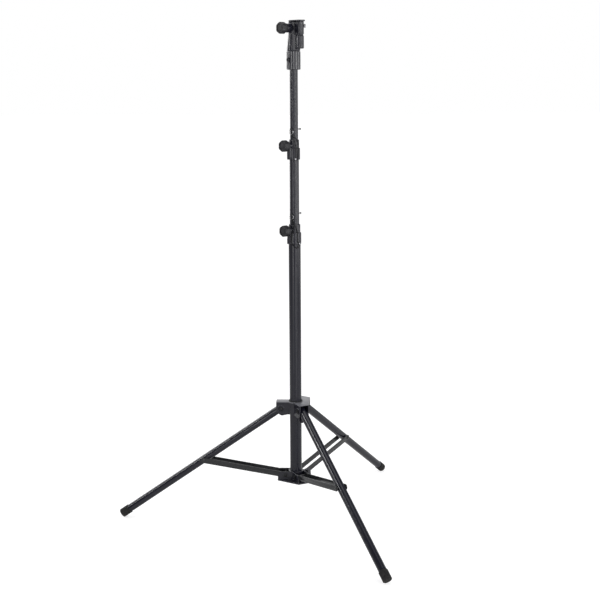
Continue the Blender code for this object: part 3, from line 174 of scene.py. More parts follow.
FOOT_RIB_BOTTOM = 0.0175
FOOT_RIB_BELOW_MOUTH = 0.0052

# Bolts, with a nut and washers, and the small screws of the head
PIVOT_BOLT_RADIUS = 0.0040
BOLT_HEAD_RADIUS = 0.0065
BOLT_HEAD_HEIGHT = 0.0040
BOLT_HEAD_FLAT = 0.94
BOLT_HEAD_FULLNESS = 0.7
BOLT_SOCKET_RADIUS = 0.0026
BOLT_SOCKET_FLOOR = 0.35
BOLT_NUT_HEIGHT = 0.0050
BOLT_PAST_NUT = 0.0012
BOLT_END_EDGE = 0.0006
WASHER_RADIUS = 0.0078
WASHER_THICKNESS = 0.0008
SPACER_RADIUS = 0.0070
SCREW_HEAD_RADIUS = 0.0065
SCREW_HEAD_HEIGHT = 0.0064
SCREW_SHANK_RADIUS = 0.0026
SCREW_SOCKET_RADIUS = 0.0030
SCREW_SOCKET_DEPTH = 0.0032
SCREW_RIM = 0.0010
SCREW_CHAMFER = 0.0008
KNURL_TEETH = 30
KNURL_DEPTH = 0.0003

# Hub, whose cheek underside is points inwards and down from the cheek's top outer corner
HUB_PIVOT_REACH = 0.0560
HUB_BUSH_WALL = 0.0015
HUB_SLEEVE_WALL = 0.0044
HUB_CHEEK_THICKNESS = 0.0034
HUB_CHEEK_GAP = 0.0006
HUB_TOP_ABOVE_PIVOT = 0.0242
HUB_SLEEVE_HEIGHT = 0.0465
HUB_CHEEK_REACH = 0.0740
HUB_CHEEK_UNDERSIDE = [
    (0.0000, 0.0195), (0.0009, 0.0262), (0.0026, 0.0330), (0.0054, 0.0390),
    (0.0092, 0.0438), (0.0134, 0.0474), (0.0180, 0.0500), (0.0224, 0.0510),
    (0.0272, 0.0503), (0.0320, 0.0490), (0.0380, 0.0476), (0.0440, 0.0465),
]
HUB_PLATE_THICKNESS = 0.0030
HUB_PLATE_DISC_MARGIN = 0.0040
HUB_PLATE_ARC_STEPS = 12
HUB_LIP_WALL = 0.0034
HUB_LIP_HEIGHT = 0.0030
HUB_BOSS_RADIUS = 0.0125
HUB_BOSS_HEIGHT = 0.0014
HUB_WASHER_MARGIN = 0.0012
HUB_KNOB_BELOW_PIVOT = 0.0413
HUB_TAB_THICKNESS = 0.0059
HUB_TAB_HALF_WIDTH = 0.0130
HUB_TAB_BELOW_KNOB = 0.0165
HUB_TAB_CHAMFER = 0.0030

# Braces and the bracket at the foot of the column
BRACE_LENGTH = 0.3236
BRACE_BOLT_ALONG_LEG = 0.3685
BRACE_BAR_HEIGHT = 0.0210
BRACE_BAR_THICKNESS = 0.0030
BRACE_BAR_SPREAD = 0.0180
BRACE_END_STEPS = 20
BRACE_RIVET_HEIGHT = 0.0028
BRACE_WASHER_THICKNESS = 0.0006
BRACKET_PIVOT_REACH = 0.0400
BRACKET_RING_WALL = 0.0062
BRACKET_RING_MARGIN = 0.0047
BRACKET_CHEEK_THICKNESS = 0.0030
BRACKET_REACH = 0.0700
BRACKET_TOP_REACH = 0.0630
BRACKET_HEIGHT = 0.0369
BRACKET_BELOW_PIVOT = 0.0217
BRACKET_SHOULDER_HEIGHT = 0.0155
BRACKET_BASE_THICKNESS = 0.0060
TUBE_FOOT_RECESS = 0.0015

# Clamp collars
COLLAR_HEIGHT = 0.0735
COLLAR_SKIRT_HEIGHT = 0.0428
COLLAR_NECK_WALL = 0.0018
COLLAR_EDGE = 0.0012
COLLAR_BOSS_RADIUS = 0.0110
COLLAR_BOSS_REACH = 0.0297
COLLAR_BOSS_BELOW_TOP = 0.0220
COLLAR_BOSS_ANGLE = -135.0
COLLAR_RIB_WIDTH = 0.0160
RIB_SHOULDER_BELOW_BOSS = 0.0330
LOWER_SKIRT_WALL = 0.0022
LOWER_BUSH_WALL = 0.0017
LOWER_RIB_REACH = 0.0310
LOWER_EYELET_ANGLE = -45.0
UPPER_SKIRT_WALL = 0.0042
UPPER_BUSH_WALL = 0.0013
UPPER_RIB_REACH = 0.0285
UPPER_EYELET_ANGLE = -75.0
EYELET_LUG_RADIUS = 0.0052
EYELET_LUG_STANDOFF = 0.0003
EYELET_ABOVE_BOTTOM = 0.0030
EYELET_RADIUS = 0.0045
EYELET_THICKNESS = 0.0026
EYELET_GROOVE_DEPTH = 0.0006
EYELET_RIM = 0.0006
EYELET_EDGE = 0.0002
RIVET_HEAD_RADIUS = 0.0032
RIVET_HEAD_HEIGHT = 0.0010
RIVET_HEAD_RIM = 0.0002
RIVET_SHANK_RADIUS = 0.0018
RIVET_DEPTH = 0.0014

# Hand knobs, whose crown is radii with heights above the dish in the face
KNOB_RADIUS = 0.0210
KNOB_LENGTH = 0.0300
HUB_KNOB_LENGTH = 0.0190
KNOB_NECK_RADIUS = 0.0160
KNOB_NECK_LENGTH = 0.0070
KNOB_NECK_EDGE = 0.0010
KNOB_NECK_RIBS = 18
KNOB_NECK_RIB_BOTTOM = 0.0012
KNOB_NECK_RIB_OVERLAP = 0.0004
KNOB_NECK_RIB_EDGE = 0.0002
KNOB_LOBES = 6
KNOB_LOBE_SIDES = 24
KNOB_LOBE_DEPTH = 0.0015
KNOB_EDGE = 0.0030
KNOB_FACE_RADIUS = 0.0138
KNOB_FACE_DEPTH = 0.0022
KNOB_FACE_EDGE = 0.0006
KNOB_CROWN = [(0.0116, 0.0), (0.0112, 0.0008), (0.00621, 0.0013), (0.00207, 0.0014)]
STUD_RADIUS = 0.0040

# Safety pins, whose nose is shares of the tip's radius with distances from the end
PIN_ABOVE_COLLAR = 0.0370
PIN_ANGLE = -115.0
PIN_RADIUS = 0.0030
PIN_TIP_RADIUS = 0.0038
PIN_TIP_LENGTH = 0.0070
PIN_TIP_REACH = 0.0500
PIN_TIP_NOSE = [(0.55, 0.0), (0.85, 0.0007), (1.0, 0.0020)]
PIN_TIP_TAPER = 0.0015
PIN_HOLE_RADIUS = 0.0042
PIN_GRIP_RADIUS = 0.0055
PIN_GRIP_LENGTH = 0.0094
PIN_GRIP_STANDOFF = 0.0006
PIN_GRIP_ROUND = 0.0016
PIN_GRIP_SHOULDER = (0.0005, 0.0006)
PIN_GROOVES = 3
PIN_GROOVE_START = 0.0012
PIN_GROOVE_PITCH = 0.0013
PIN_GROOVE_DEPTH = 0.0004
PIN_HEAD_DEPTH = 0.0033
PIN_RING_OUT = 0.0070
PIN_RING_RADIUS = 0.0085
PIN_RING_WIRE = 0.0008
PIN_RING_HOLE = 0.00225
PIN_RING_HOLE_DROP = 0.0011

# Lanyards: points of an angle, a reach and a height above the collar's bottom, out from the eyelet and back
CORD_RADIUS = 0.00125
CORD_ROUTE_SPACING = 0.0030
CORD_STRANDS = 6
CORD_CROSSINGS = 1.6
LOWER_LANYARD_ROUTE = [
    (-52.9, 0.0269, 0.0061), (-57.3, 0.0269, 0.0078), (-60.8, 0.0270, 0.0140), (-62.0, 0.0270, 0.0250),
    (-62.0, 0.0270, 0.0350), (-62.5, 0.0268, 0.0435), (-65.0, 0.0256, 0.0510), (-70.0, 0.0246, 0.0590),
    (-76.0, 0.0244, 0.0670), (-84.0, 0.0248, 0.0750), (-93.0, 0.0260, 0.0830), (-102.0, 0.0272, 0.0905),
    (-110.0, 0.0270, 0.0968), (-116.0, 0.0246, 0.0978), (-120.0, 0.0218, 0.0965), (-118.0, 0.0206, 0.0905),
    (-111.0, 0.0204, 0.0845), (-103.0, 0.0214, 0.0795), (-98.0, 0.0230, 0.0750), (-96.5, 0.0237, 0.0680),
    (-97.0, 0.0237, 0.0590), (-99.0, 0.0242, 0.0510), (-102.0, 0.0258, 0.0450), (-106.0, 0.0270, 0.0380),
    (-110.0, 0.0272, 0.0290), (-112.5, 0.0272, 0.0190), (-112.0, 0.0272, 0.0100), (-107.0, 0.0272, 0.0020),
    (-98.0, 0.0272, -0.0050), (-87.0, 0.0272, -0.0100), (-76.0, 0.0272, -0.0128), (-65.0, 0.0272, -0.0132),
    (-54.5, 0.0272, -0.0108), (-47.4, 0.0270, -0.0058), (-46.3, 0.0269, -0.0018),
]
UPPER_LANYARD_ROUTE = [
    (-64.9, 0.0239, 0.0006), (-60.0, 0.0240, -0.0006), (-53.5, 0.0242, 0.0035), (-50.5, 0.0242, 0.0125),
    (-49.0, 0.0240, 0.0215), (-47.5, 0.0240, 0.0315), (-44.5, 0.0241, 0.0405), (-40.0, 0.0238, 0.0485),
    (-39.0, 0.0224, 0.0565), (-44.0, 0.0216, 0.0645), (-54.0, 0.0214, 0.0720), (-67.0, 0.0218, 0.0780),
    (-82.0, 0.0228, 0.0825), (-96.0, 0.0240, 0.0875), (-105.0, 0.0246, 0.0935), (-112.0, 0.0239, 0.0995),
    (-117.0, 0.0218, 0.1007), (-121.0, 0.0196, 0.0980), (-120.0, 0.0184, 0.0925), (-113.0, 0.0180, 0.0865),
    (-102.0, 0.0192, 0.0815), (-91.0, 0.0206, 0.0765), (-81.0, 0.0208, 0.0685), (-74.0, 0.0209, 0.0595),
    (-70.5, 0.0216, 0.0525), (-69.2, 0.0232, 0.0485), (-69.0, 0.0239, 0.0405), (-69.0, 0.0240, 0.0295),
    (-69.3, 0.0240, 0.0185), (-70.0, 0.0239, 0.0107), (-72.0, 0.0239, 0.0077),
]

# Stand head
HEAD_SLEEVE_RADIUS = 0.0255
HEAD_SLEEVE_HEIGHT = 0.0665
HEAD_SLEEVE_RIBS = 16
HEAD_RIB_DEPTH = 0.0013
HEAD_RIB_HEIGHT = 0.0019
HEAD_RIB_HALF_WIDTH = 0.0015
HEAD_RIB_TAPER = 0.8
HEAD_RIB_PHASE = 5.35
HEAD_SHOULDER_HEIGHT = 0.0695
HEAD_TAPER_HEIGHT = 0.1245
HEAD_HEIGHT = 0.1705
HEAD_NECK_RADIUS = 0.0192
HEAD_TUBE_SEAT = 0.0745
HEAD_SOCKET_RADIUS = 0.0143
HEAD_SOCKET_FLOOR = 0.0805
HEAD_SIDE_ANGLE = -45.0
HEAD_BARREL_OFFSET = 0.0350
HEAD_BARREL_RADIUS = 0.0145
HEAD_BARREL_FLOOR = 0.0745
HEAD_BARREL_EDGE = 0.0025
HEAD_BARREL_GROOVE = 0.0020
HEAD_GROOVE_LOW = 0.1195
HEAD_GROOVE_HIGH = 0.1265
HEAD_SIDE_SOCKET_RADIUS = 0.0081
HEAD_SIDE_SOCKET_FLOOR = 0.0800
HEAD_WEB_WIDTH = 0.0200
HEAD_WEB_MARGIN = 0.0040
HEAD_KNOB_ANGLE = -135.0
HEAD_KNOB_HEIGHT = 0.1475
HEAD_KNOB_BOSS_RADIUS = 0.0160
HEAD_KNOB_BOSS_REACH = 0.0370
CAP_PLATE_THICKNESS = 0.0050
CAP_PLATE_RADIUS = 0.0180
CAP_PLATE_OVERHANG = 0.0030
CAP_PLATE_EDGE = 0.0007
CAP_PLATE_END_STEPS = 32
SET_SCREW_ANGLE = -127.0
SET_SCREW_HEIGHT = 0.0355
SIDE_SCREW_ANGLE = 0.0
SIDE_SCREW_HEIGHT = 0.1545
SCREW_BOSS_RADIUS = 0.0080
SCREW_BOSS_HEIGHT = 0.0020

# Heights and radii worked out from the values above
LEG_PIVOT_Z = LEG_LENGTH * math.cos(LEG_TILT)
BRACE_BOLT_REACH = HUB_PIVOT_REACH + BRACE_BOLT_ALONG_LEG * math.sin(LEG_TILT)
BRACE_BOLT_Z = LEG_PIVOT_Z - BRACE_BOLT_ALONG_LEG * math.cos(LEG_TILT)
BRACE_RUN = BRACE_BOLT_REACH - BRACKET_PIVOT_REACH
BRACE_RISE = math.sqrt(BRACE_LENGTH**2 - BRACE_RUN**2)
BRACKET_PIVOT_Z = BRACE_BOLT_Z - BRACE_RISE
BRACKET_CHEEK_INNER = BRACE_BAR_SPREAD + BRACE_BAR_THICKNESS + SEAT_GAP
BRACKET_CHEEK_OUTER = BRACKET_CHEEK_INNER + BRACKET_CHEEK_THICKNESS
BRACKET_BORE = LOWER_TUBE_RADIUS + SEAT_GAP
BRACKET_RING_RADIUS = max(BRACKET_BORE + BRACKET_RING_WALL, BRACKET_CHEEK_OUTER + BRACKET_RING_MARGIN)
LOWER_TUBE_Z = BRACKET_PIVOT_Z - BRACKET_BELOW_PIVOT + TUBE_FOOT_RECESS
LOWER_COLLAR_Z = LOWER_TUBE_Z + LOWER_TUBE_LENGTH - COLLAR_SKIRT_HEIGHT + 2 * COLLAR_EDGE
LOWER_COLLAR_TOP = LOWER_COLLAR_Z + COLLAR_HEIGHT
UPPER_COLLAR_Z = LOWER_COLLAR_TOP + MIDDLE_STAGE_SHOWN
UPPER_COLLAR_TOP = UPPER_COLLAR_Z + COLLAR_HEIGHT
MIDDLE_TUBE_Z = UPPER_COLLAR_Z + COLLAR_SKIRT_HEIGHT - 2 * COLLAR_EDGE - MIDDLE_TUBE_LENGTH
LOWER_PIN_Z = LOWER_COLLAR_TOP + PIN_ABOVE_COLLAR
UPPER_PIN_Z = UPPER_COLLAR_TOP + PIN_ABOVE_COLLAR
HEAD_Z = UPPER_COLLAR_TOP + TOP_STAGE_SHOWN
TOP_TUBE_Z = HEAD_Z + HEAD_TUBE_SEAT - SEAT_GAP - TOP_TUBE_LENGTH
HUB_BUSH_RADIUS = LOWER_TUBE_RADIUS + SLIDE_GAP + HUB_BUSH_WALL
HUB_BORE = HUB_BUSH_RADIUS + SEAT_GAP
HUB_SLEEVE_RADIUS = HUB_BORE + HUB_SLEEVE_WALL
HUB_CHEEK_INNER = LEG_RADIUS + HUB_CHEEK_GAP
HUB_CHEEK_OUTER = HUB_CHEEK_INNER + HUB_CHEEK_THICKNESS
HUB_TAB_OUTER = HUB_BORE + HUB_TAB_THICKNESS
BOLT_HOLE_RADIUS = PIVOT_BOLT_RADIUS + HOLE_CLEARANCE
STUD_HOLE_RADIUS = STUD_RADIUS + STUD_CLEARANCE
COLLAR_LEDGE = COLLAR_SKIRT_HEIGHT - 2 * COLLAR_EDGE + SEAT_GAP
COLLAR_BOSS_HEIGHT = COLLAR_HEIGHT - COLLAR_BOSS_BELOW_TOP
FOOT_CAP_BORE = LEG_RADIUS + SEAT_GAP
FOOT_CAP_RADIUS = FOOT_CAP_BORE + FOOT_CAP_WALL
PIN_AXIS = (math.cos(math.radians(PIN_ANGLE)), math.sin(math.radians(PIN_ANGLE)), 0.0)


# Node trees

class Socket:
    """An output of a node that takes part in Python arithmetic, each step adding a Math node."""

    def __init__(self, nodes, output):
        self.nodes = nodes
        self.output = output

    def __add__(self, other):
        return self.nodes.math("ADD", self, other)

    def __sub__(self, other):
        return self.nodes.math("SUBTRACT", self, other)

    def __mul__(self, other):
        return self.nodes.math("MULTIPLY", self, other)

    def __radd__(self, other):
        return self.nodes.math("ADD", other, self)

    def __rsub__(self, other):
        return self.nodes.math("SUBTRACT", other, self)

    def __rmul__(self, other):
        return self.nodes.math("MULTIPLY", other, self)


class Nodes:
    """A node tree, with the kinds of node that materials, world and copies share."""

    def __init__(self, tree):
        self.tree = tree

    def set_input(self, socket, value):
        if isinstance(value, Socket):
            self.tree.links.new(value.output, socket)
        else:
            socket.default_value = value

    def node(self, kind, settings=None, inputs=None, output=0):
        """Add a node: its settings first, then the values or links of its sockets."""
        made = self.tree.nodes.new(kind)
        for name, value in (settings or {}).items():
            setattr(made, name, value)
        for name, value in (inputs or {}).items():
            self.set_input(made.inputs[name], value)
        return Socket(self, made.outputs[output])

    def math(self, operation, *values):
        return self.node("ShaderNodeMath", {"operation": operation}, dict(enumerate(values)))

    def vector(self, operation, *values, output="Vector"):
        return self.node("ShaderNodeVectorMath", {"operation": operation}, dict(enumerate(values)), output)

    def between(self, value, low, high):
        """0 below low, 1 above high, and a smooth step between them."""
        inputs = {"Value": value, "From Min": low, "From Max": high}
        return self.node("ShaderNodeMapRange", {"interpolation_type": "SMOOTHSTEP"}, inputs)


class Finish(Nodes):
    """One material of the stand, with the few kinds of node that its recipe is written in."""

    def __init__(self, name):
        self.material = bpy.data.materials.new(name)
        self.material.use_nodes = True
        super().__init__(self.material.node_tree)
        self.surface = self.tree.nodes["Principled BSDF"]
        self.place = self.node("ShaderNodeTexCoord", output="Object")

    def stretched(self, scale):
        """Object coordinates scaled differently along each axis."""
        return self.vector("MULTIPLY", self.place, scale)

    def along(self, axis, place=None):
        """One coordinate of a place, the object coordinates unless another is given."""
        return self.node("ShaderNodeSeparateXYZ", inputs={0: place or self.place}, output=axis)

    def noise(self, scale, detail=2.0, roughness=0.5, place=None):
        inputs = {"Vector": place or self.place, "Scale": scale, "Detail": detail, "Roughness": roughness}
        return self.node("ShaderNodeTexNoise", inputs=inputs)

    def cells(self, scale):
        inputs = {"Vector": self.place, "Scale": scale}
        return self.node("ShaderNodeTexVoronoi", {"feature": "SMOOTH_F1"}, inputs)

    def blend(self, factor, first, second):
        """A colour between two colours, each three numbers or a socket."""
        colours = [c if isinstance(c, Socket) else (*c, 1.0) for c in (first, second)]
        inputs = {0: factor, 6: colours[0], 7: colours[1]}
        return self.node("ShaderNodeMix", {"data_type": "RGBA"}, inputs, output=2)

    def bump(self, height, distance, strength=1.0, under=None):
        inputs = {"Height": height, "Distance": distance, "Strength": strength}
        if under:
            inputs["Normal"] = under
        return self.node("ShaderNodeBump", inputs=inputs)

    def done(self, colour, roughness, normal, metallic=0.0, specular=0.5):
        values = {"Base Color": colour, "Roughness": roughness, "Metallic": metallic, "Normal": normal}
        for name, value in values.items():
            self.set_input(self.surface.inputs[name], value)
        self.surface.inputs["Specular IOR Level"].default_value = specular
        return self.material


# Finishes

def powder_coat(name, dark, light, rub=0.0):
    """Satin powder coat: a fine orange peel, cloudy sheen and upright rub marks, most on tubes that slide."""
    finish = Finish(name)
    clouds = finish.noise(7.0, 3.0, 0.55)
    specks = finish.noise(2600.0, 1.0)
    streaks = finish.noise(1.0, 3.0, 0.6, finish.stretched((420.0, 420.0, 5.0)))
    scuffs = finish.between(streaks, 0.60, 0.70) * finish.between(finish.noise(16.0, 2.0), 0.50, 0.62)
    colour = finish.blend(clouds, dark, light)
    colour = finish.blend(finish.between(specks, 0.62, 0.75) * 0.35, colour, (0.035, 0.035, 0.039))
    colour = finish.blend(scuffs * (0.25 + rub), colour, (0.080, 0.080, 0.085))
    roughness = 0.15 + clouds * 0.10 - scuffs * 0.04
    peel = finish.noise(900.0, 2.0, 0.5)
    normal = finish.bump(peel, 0.00005, 0.55, finish.bump(scuffs, 0.00003, 0.5))
    return finish.done(colour, roughness, normal)


def cast_paint(name, dark, light):
    """Painted casting: a sandy grain with broad soft unevenness and small bright nicks."""
    finish = Finish(name)
    clouds = finish.noise(32.0, 3.0, 0.6)
    grain = finish.noise(1500.0, 3.0, 0.65)
    nicks = finish.between(finish.noise(240.0, 4.0, 0.7), 0.70, 0.76)
    colour = finish.blend(clouds, dark, light)
    colour = finish.blend(nicks * 0.6, colour, (0.16, 0.16, 0.17))
    roughness = 0.15 + clouds * 0.13
    normal = finish.bump(grain, 0.00006, 0.6, finish.bump(clouds, 0.0004, 0.25))
    return finish.done(colour, roughness, normal)


def hub_plate_with_painted_light(name):
    """Grey plate, lightened as painted light for the bright light its top face catches, with a fine tumbled
    grain and crossing hairline scratches.
    """
    finish = Finish(name)
    hair = finish.noise(1.0, 4.0, 0.7, finish.stretched((60.0, 1400.0, 60.0)))
    cross = finish.noise(1.0, 4.0, 0.7, finish.stretched((1200.0, 90.0, 60.0)))
    lines = finish.between(hair, 0.56, 0.70) + finish.between(cross, 0.60, 0.72)
    # Both greys are lifted to stand for the light on the plate's top face: painted light over the plate's own
    # grey.
    colour = finish.blend(lines * 0.5, (0.15, 0.15, 0.17), (0.28, 0.28, 0.31))
    roughness = 0.24 + finish.noise(90.0, 2.0) * 0.14
    normal = finish.bump(lines, 0.00001, 0.5, finish.bump(finish.noise(1800.0), 0.00001, 0.4))
    return finish.done(colour, roughness, normal)


def knob_plastic(name):
    """Moulded black plastic with a leathery spark grain, worn smoother and greyer where hands turn it."""
    finish = Finish(name)
    grain = finish.cells(1300.0)
    wear = finish.between(finish.noise(70.0, 3.0, 0.6), 0.48, 0.72)
    colour = finish.blend(wear, (0.006, 0.006, 0.009), (0.018, 0.018, 0.024))
    roughness = 0.52 - wear * 0.16
    normal = finish.bump(grain, 0.00010, 0.45)
    return finish.done(colour, roughness, normal)


def nylon_finish(name):
    """Machined nylon with faint turning lines."""
    finish = Finish(name)
    lines = finish.math("SINE", finish.along("Z") * 9000.0)
    colour = finish.blend(finish.noise(300.0), (0.016, 0.016, 0.016), (0.030, 0.030, 0.030))
    return finish.done(colour, 0.55 + finish.noise(500.0) * 0.1, finish.bump(lines, 0.00002, 0.4))


def rubber_finish(name):
    """Dull rubber, dusty towards the ground, with scraped patches."""
    finish = Finish(name)
    patches = finish.noise(130.0, 4.0, 0.65)
    dust = finish.between(patches + (0.030 - finish.along("Z")) * 12.0, 0.55, 0.95)
    colour = finish.blend(dust * 0.55, (0.013, 0.013, 0.013), (0.115, 0.108, 0.100))
    roughness = 0.70 + dust * 0.20
    normal = finish.bump(patches, 0.00015, 0.5, finish.bump(finish.noise(2200.0), 0.00006, 0.5))
    return finish.done(colour, roughness, normal, specular=0.35)


def blackened_steel(name):
    """Oil-blackened steel with its edges and high spots rubbed bright."""
    finish = Finish(name)
    rubbed = finish.between(finish.noise(420.0, 4.0, 0.65), 0.56, 0.72)
    colour = finish.blend(rubbed, (0.035, 0.035, 0.038), (0.20, 0.20, 0.21))
    roughness = 0.42 - rubbed * 0.12
    return finish.done(colour, roughness, finish.bump(finish.noise(2400.0, 2.0), 0.00004, 0.5), 0.9)


def turned_steel(name, axis, dark, light):
    """Bright steel with turning lines square to an axis, and grey handling marks."""
    finish = Finish(name)
    along = finish.vector("DOT_PRODUCT", finish.place, axis, output="Value")
    lines = finish.math("SINE", along * 11000.0)
    marks = finish.noise(260.0, 3.0, 0.6)
    colour = finish.blend(finish.between(marks, 0.42, 0.66), light, dark)
    roughness = 0.22 + marks * 0.18
    return finish.done(colour, roughness, finish.bump(lines, 0.000015, 0.5), 1.0)


def braided_cord(name):
    """Sheathed cord: two sets of strands that cross round it, read from the cord's own UV map, with painted
    shade in the grooves between the strands.
    """
    finish = Finish(name)
    cord_map = finish.node("ShaderNodeUVMap", {"uv_map": "cord"})
    around = finish.along("X", cord_map) * (2 * math.pi * CORD_STRANDS)
    along = finish.along("Y", cord_map) * (2 * math.pi * CORD_CROSSINGS)
    strands = finish.math("MAXIMUM", finish.math("SINE", around + along), finish.math("SINE", around - along))
    raised = finish.between(strands, 0.0, 1.0)
    # Darker where the strands sink: painted shade in the grooves.
    colour = finish.blend(raised, (0.003, 0.003, 0.003), (0.016, 0.016, 0.017))
    roughness = 0.85 - raised * 0.20
    return finish.done(colour, roughness, finish.bump(raised, 0.00012, 0.8), specular=0.35)


# Camera, lights, world and floor

def in_scene(name, data):
    item = bpy.data.objects.new(name, data)
    bpy.context.scene.collection.objects.link(item)
    return item


def set_camera():
    """The photograph's view: a long lens, a little above the clamps and looking slightly down."""
    column = STAND_PLACE.translation
    place = Vector((column.x + CAMERA_ASIDE, -CAMERA_BACK, CAMERA_HEIGHT))
    heading = math.atan2(column.x - place.x, -place.y) + CAMERA_TURN
    data = bpy.data.cameras.new("camera")
    data.sensor_fit = "HORIZONTAL"
    data.sensor_width = CAMERA_SENSOR
    data.lens = CAMERA_LENS
    camera = in_scene("camera", data)
    camera.matrix_world = (
        Matrix.Translation(place)
        @ Matrix.Rotation(-heading, 4, "Z")
        @ Matrix.Rotation(math.pi / 2 - CAMERA_PITCH, 4, "X")
        @ Matrix.Rotation(-CAMERA_ROLL, 4, "Z")
    )
    bpy.context.scene.camera = camera


def lamp_place(bearing, reach, height):
    """A place round the column, its bearing in degrees to the right of the camera's side."""
    angle = math.radians(CAMERA_ANGLE + bearing)
    return (STAND_PLACE.translation.x + reach * math.cos(angle), reach * math.sin(angle), height)


def add_softbox(name, place, width, length, watts):
    data = bpy.data.lights.new(name, "AREA")
    data.shape = "RECTANGLE"
    data.size = width
    data.size_y = length
    data.energy = watts
    lamp = in_scene(name, data)
    lamp.location = place
    lamp.rotation_mode = "QUATERNION"
    lamp.rotation_quaternion = (Vector(LAMP_AIM) - Vector(place)).to_track_quat("-Z", "Y")


def set_lamps():
    for name, bearing, reach, height, width, length, watts in SOFTBOXES:
        add_softbox(name, lamp_place(bearing, reach, height), width, length, watts)
    add_softbox("top_softbox", TOP_SOFTBOX_PLACE, TOP_SOFTBOX_SIDE, TOP_SOFTBOX_SIDE, TOP_SOFTBOX_WATTS)


def set_floor():
    """A pale floor that shows a soft shadow and runs out into white, with a glow and glowing stripes that
    only reflections see, as painted highlights.
    """
    half = FLOOR_HALF
    corners = [(x, y, FLOOR_HEIGHT) for x, y in ((-half, -half), (half, -half), (half, half), (-half, half))]
    floor_mesh = bpy.data.meshes.new("floor")
    floor_mesh.from_pydata(corners, [], [(0, 1, 2, 3)])
    floor = in_scene("floor", floor_mesh)
    finish = Finish("floor")
    colour = finish.blend(finish.noise(1.5, 3.0), (0.50, 0.50, 0.505), (0.54, 0.54, 0.545))
    finish.done(colour, 0.9, finish.bump(finish.noise(60.0), 0.0004, 0.2), specular=0.2)
    distance = finish.vector("LENGTH", finish.place, output="Value")
    far_off = finish.between(distance, FLOOR_LIFT_FROM, FLOOR_LIFT_TO)
    lift = far_off * (FLOOR_LIFT_FAR - FLOOR_LIFT_NEAR) + FLOOR_LIFT_NEAR
    foot = Vector((STAND_PLACE.translation.x, 0.0, 0.0))
    bearing = finish.vector("NORMALIZE", finish.vector("SUBTRACT", finish.place, foot))
    past_feet = finish.between(distance, FLOOR_STRIPE_NEAR, FLOOR_STRIPE_FAR)
    # The floor glows for glossy rays alone, faintly everywhere and strongly in the stripes: painted
    # reflections that put highlight lines on the tubes.
    mirrored = FLOOR_REFLECTED_GLOW
    for angle, strength in FLOOR_GLOW_STRIPES:
        stripe = Vector(lamp_place(angle, 1.0, 0.0)) - foot
        along = finish.vector("DOT_PRODUCT", bearing, stripe, output="Value")
        inside = finish.between(along, FLOOR_STRIPE_EDGE, FLOOR_STRIPE_FULL)
        mirrored = inside * past_feet * strength + mirrored
    seen = finish.node("ShaderNodeLightPath", output="Is Camera Ray")
    reflected = finish.node("ShaderNodeLightPath", output="Is Glossy Ray")
    glow = {"Color": WHITE, "Strength": seen * lift + reflected * mirrored}
    painted = Socket(finish, finish.surface.outputs[0])
    glowing = finish.node("ShaderNodeEmission", inputs=glow)
    lifted = finish.node("ShaderNodeAddShader", inputs={0: painted, 1: glowing})
    finish.set_input(finish.tree.nodes["Material Output"].inputs["Surface"], lifted)
    floor_mesh.materials.append(finish.material)


def set_world():
    """White to the camera, a plain level for soft light, and a rear wall and front window for reflections."""
    world = bpy.data.worlds.new("studio")
    world.use_nodes = True
    nodes = Nodes(world.node_tree)
    ray = nodes.node("ShaderNodeTexCoord", output="Generated")

    def light(strength):
        return nodes.node("ShaderNodeBackground", inputs={"Color": WHITE, "Strength": strength})

    def choose(factor, first, second):
        return nodes.node("ShaderNodeMixShader", inputs={0: factor, 1: first, 2: second})

    def towards(direction, edge, full):
        """0 away from a direction and 1 near it, between two cosines."""
        facing = nodes.vector("DOT_PRODUCT", ray, Vector(direction).normalized(), output="Value")
        return nodes.between(facing, edge, full)

    rear_wall = choose(towards(*BRIGHT_WALL), light(DARK_WALL_LIGHT), light(BRIGHT_WALL_LIGHT))
    window = choose(towards(*ABOVE_GROUND), light(DARK_WALL_LIGHT), light(FRONT_WINDOW_LIGHT))
    reflected = choose(towards(*FRONT_WINDOW), rear_wall, window)
    lit = choose(nodes.node("ShaderNodeLightPath", output="Is Glossy Ray"), light(WORLD_LIGHT), reflected)
    seen = choose(nodes.node("ShaderNodeLightPath", output="Is Camera Ray"), lit, light(BACKDROP_LIGHT))
    nodes.set_input(nodes.tree.nodes["World Output"].inputs["Surface"], seen)
    bpy.context.scene.world = world


# Places and shapes

def turn(angle):
    return Matrix.Rotation(math.radians(angle), 4, "Z")


def upright(height, angle=0.0, reach=0.0):
    """Place for a shape whose own Z axis stays upright."""
    return turn(angle) @ Matrix.Translation((reach, 0, height))


def outward(angle, reach, height):
    """Place for a shape whose own Z axis points away from the column."""
    return upright(height, angle, reach) @ Matrix.Rotation(math.pi / 2, 4, "Y")


def crosswise(angle, reach, height):
    """Place for a shape whose own Z axis runs across an arm, square to its upright plane."""
    return upright(height, angle, reach) @ Matrix.Rotation(-math.pi / 2, 4, "X")


def placed(mesh, place):
    mesh.transform(place)
    return mesh


def on_side(side, inner, outer):
    """The two distances of a plate on one side (-1 or 1) of an arm, the lower one first."""
    return sorted((side * inner, side * outer))


def quarter_turn(steps):
    return [math.pi / 2 * step / steps for step in range(steps + 1)]


def ring_points(radius_at, height, count):
    angles = [2 * math.pi * step / count for step in range(count)]
    return [(radius_at(a) * math.cos(a), radius_at(a) * math.sin(a), height) for a in angles]


def round_end(radius, steps):
    angles = [math.pi / 2 + math.pi * step / steps for step in range(steps + 1)]
    return [(radius * math.cos(a), radius * math.sin(a)) for a in angles]


def plain_mesh(shape):
    mesh = bpy.data.meshes.new("shape")
    shape.to_mesh(mesh)
    shape.free()
    return mesh


def closed_mesh(shape):
    bmesh.ops.remove_doubles(shape, verts=shape.verts, dist=MERGE_DISTANCE)
    bmesh.ops.recalc_face_normals(shape, faces=shape.faces)
    return plain_mesh(shape)


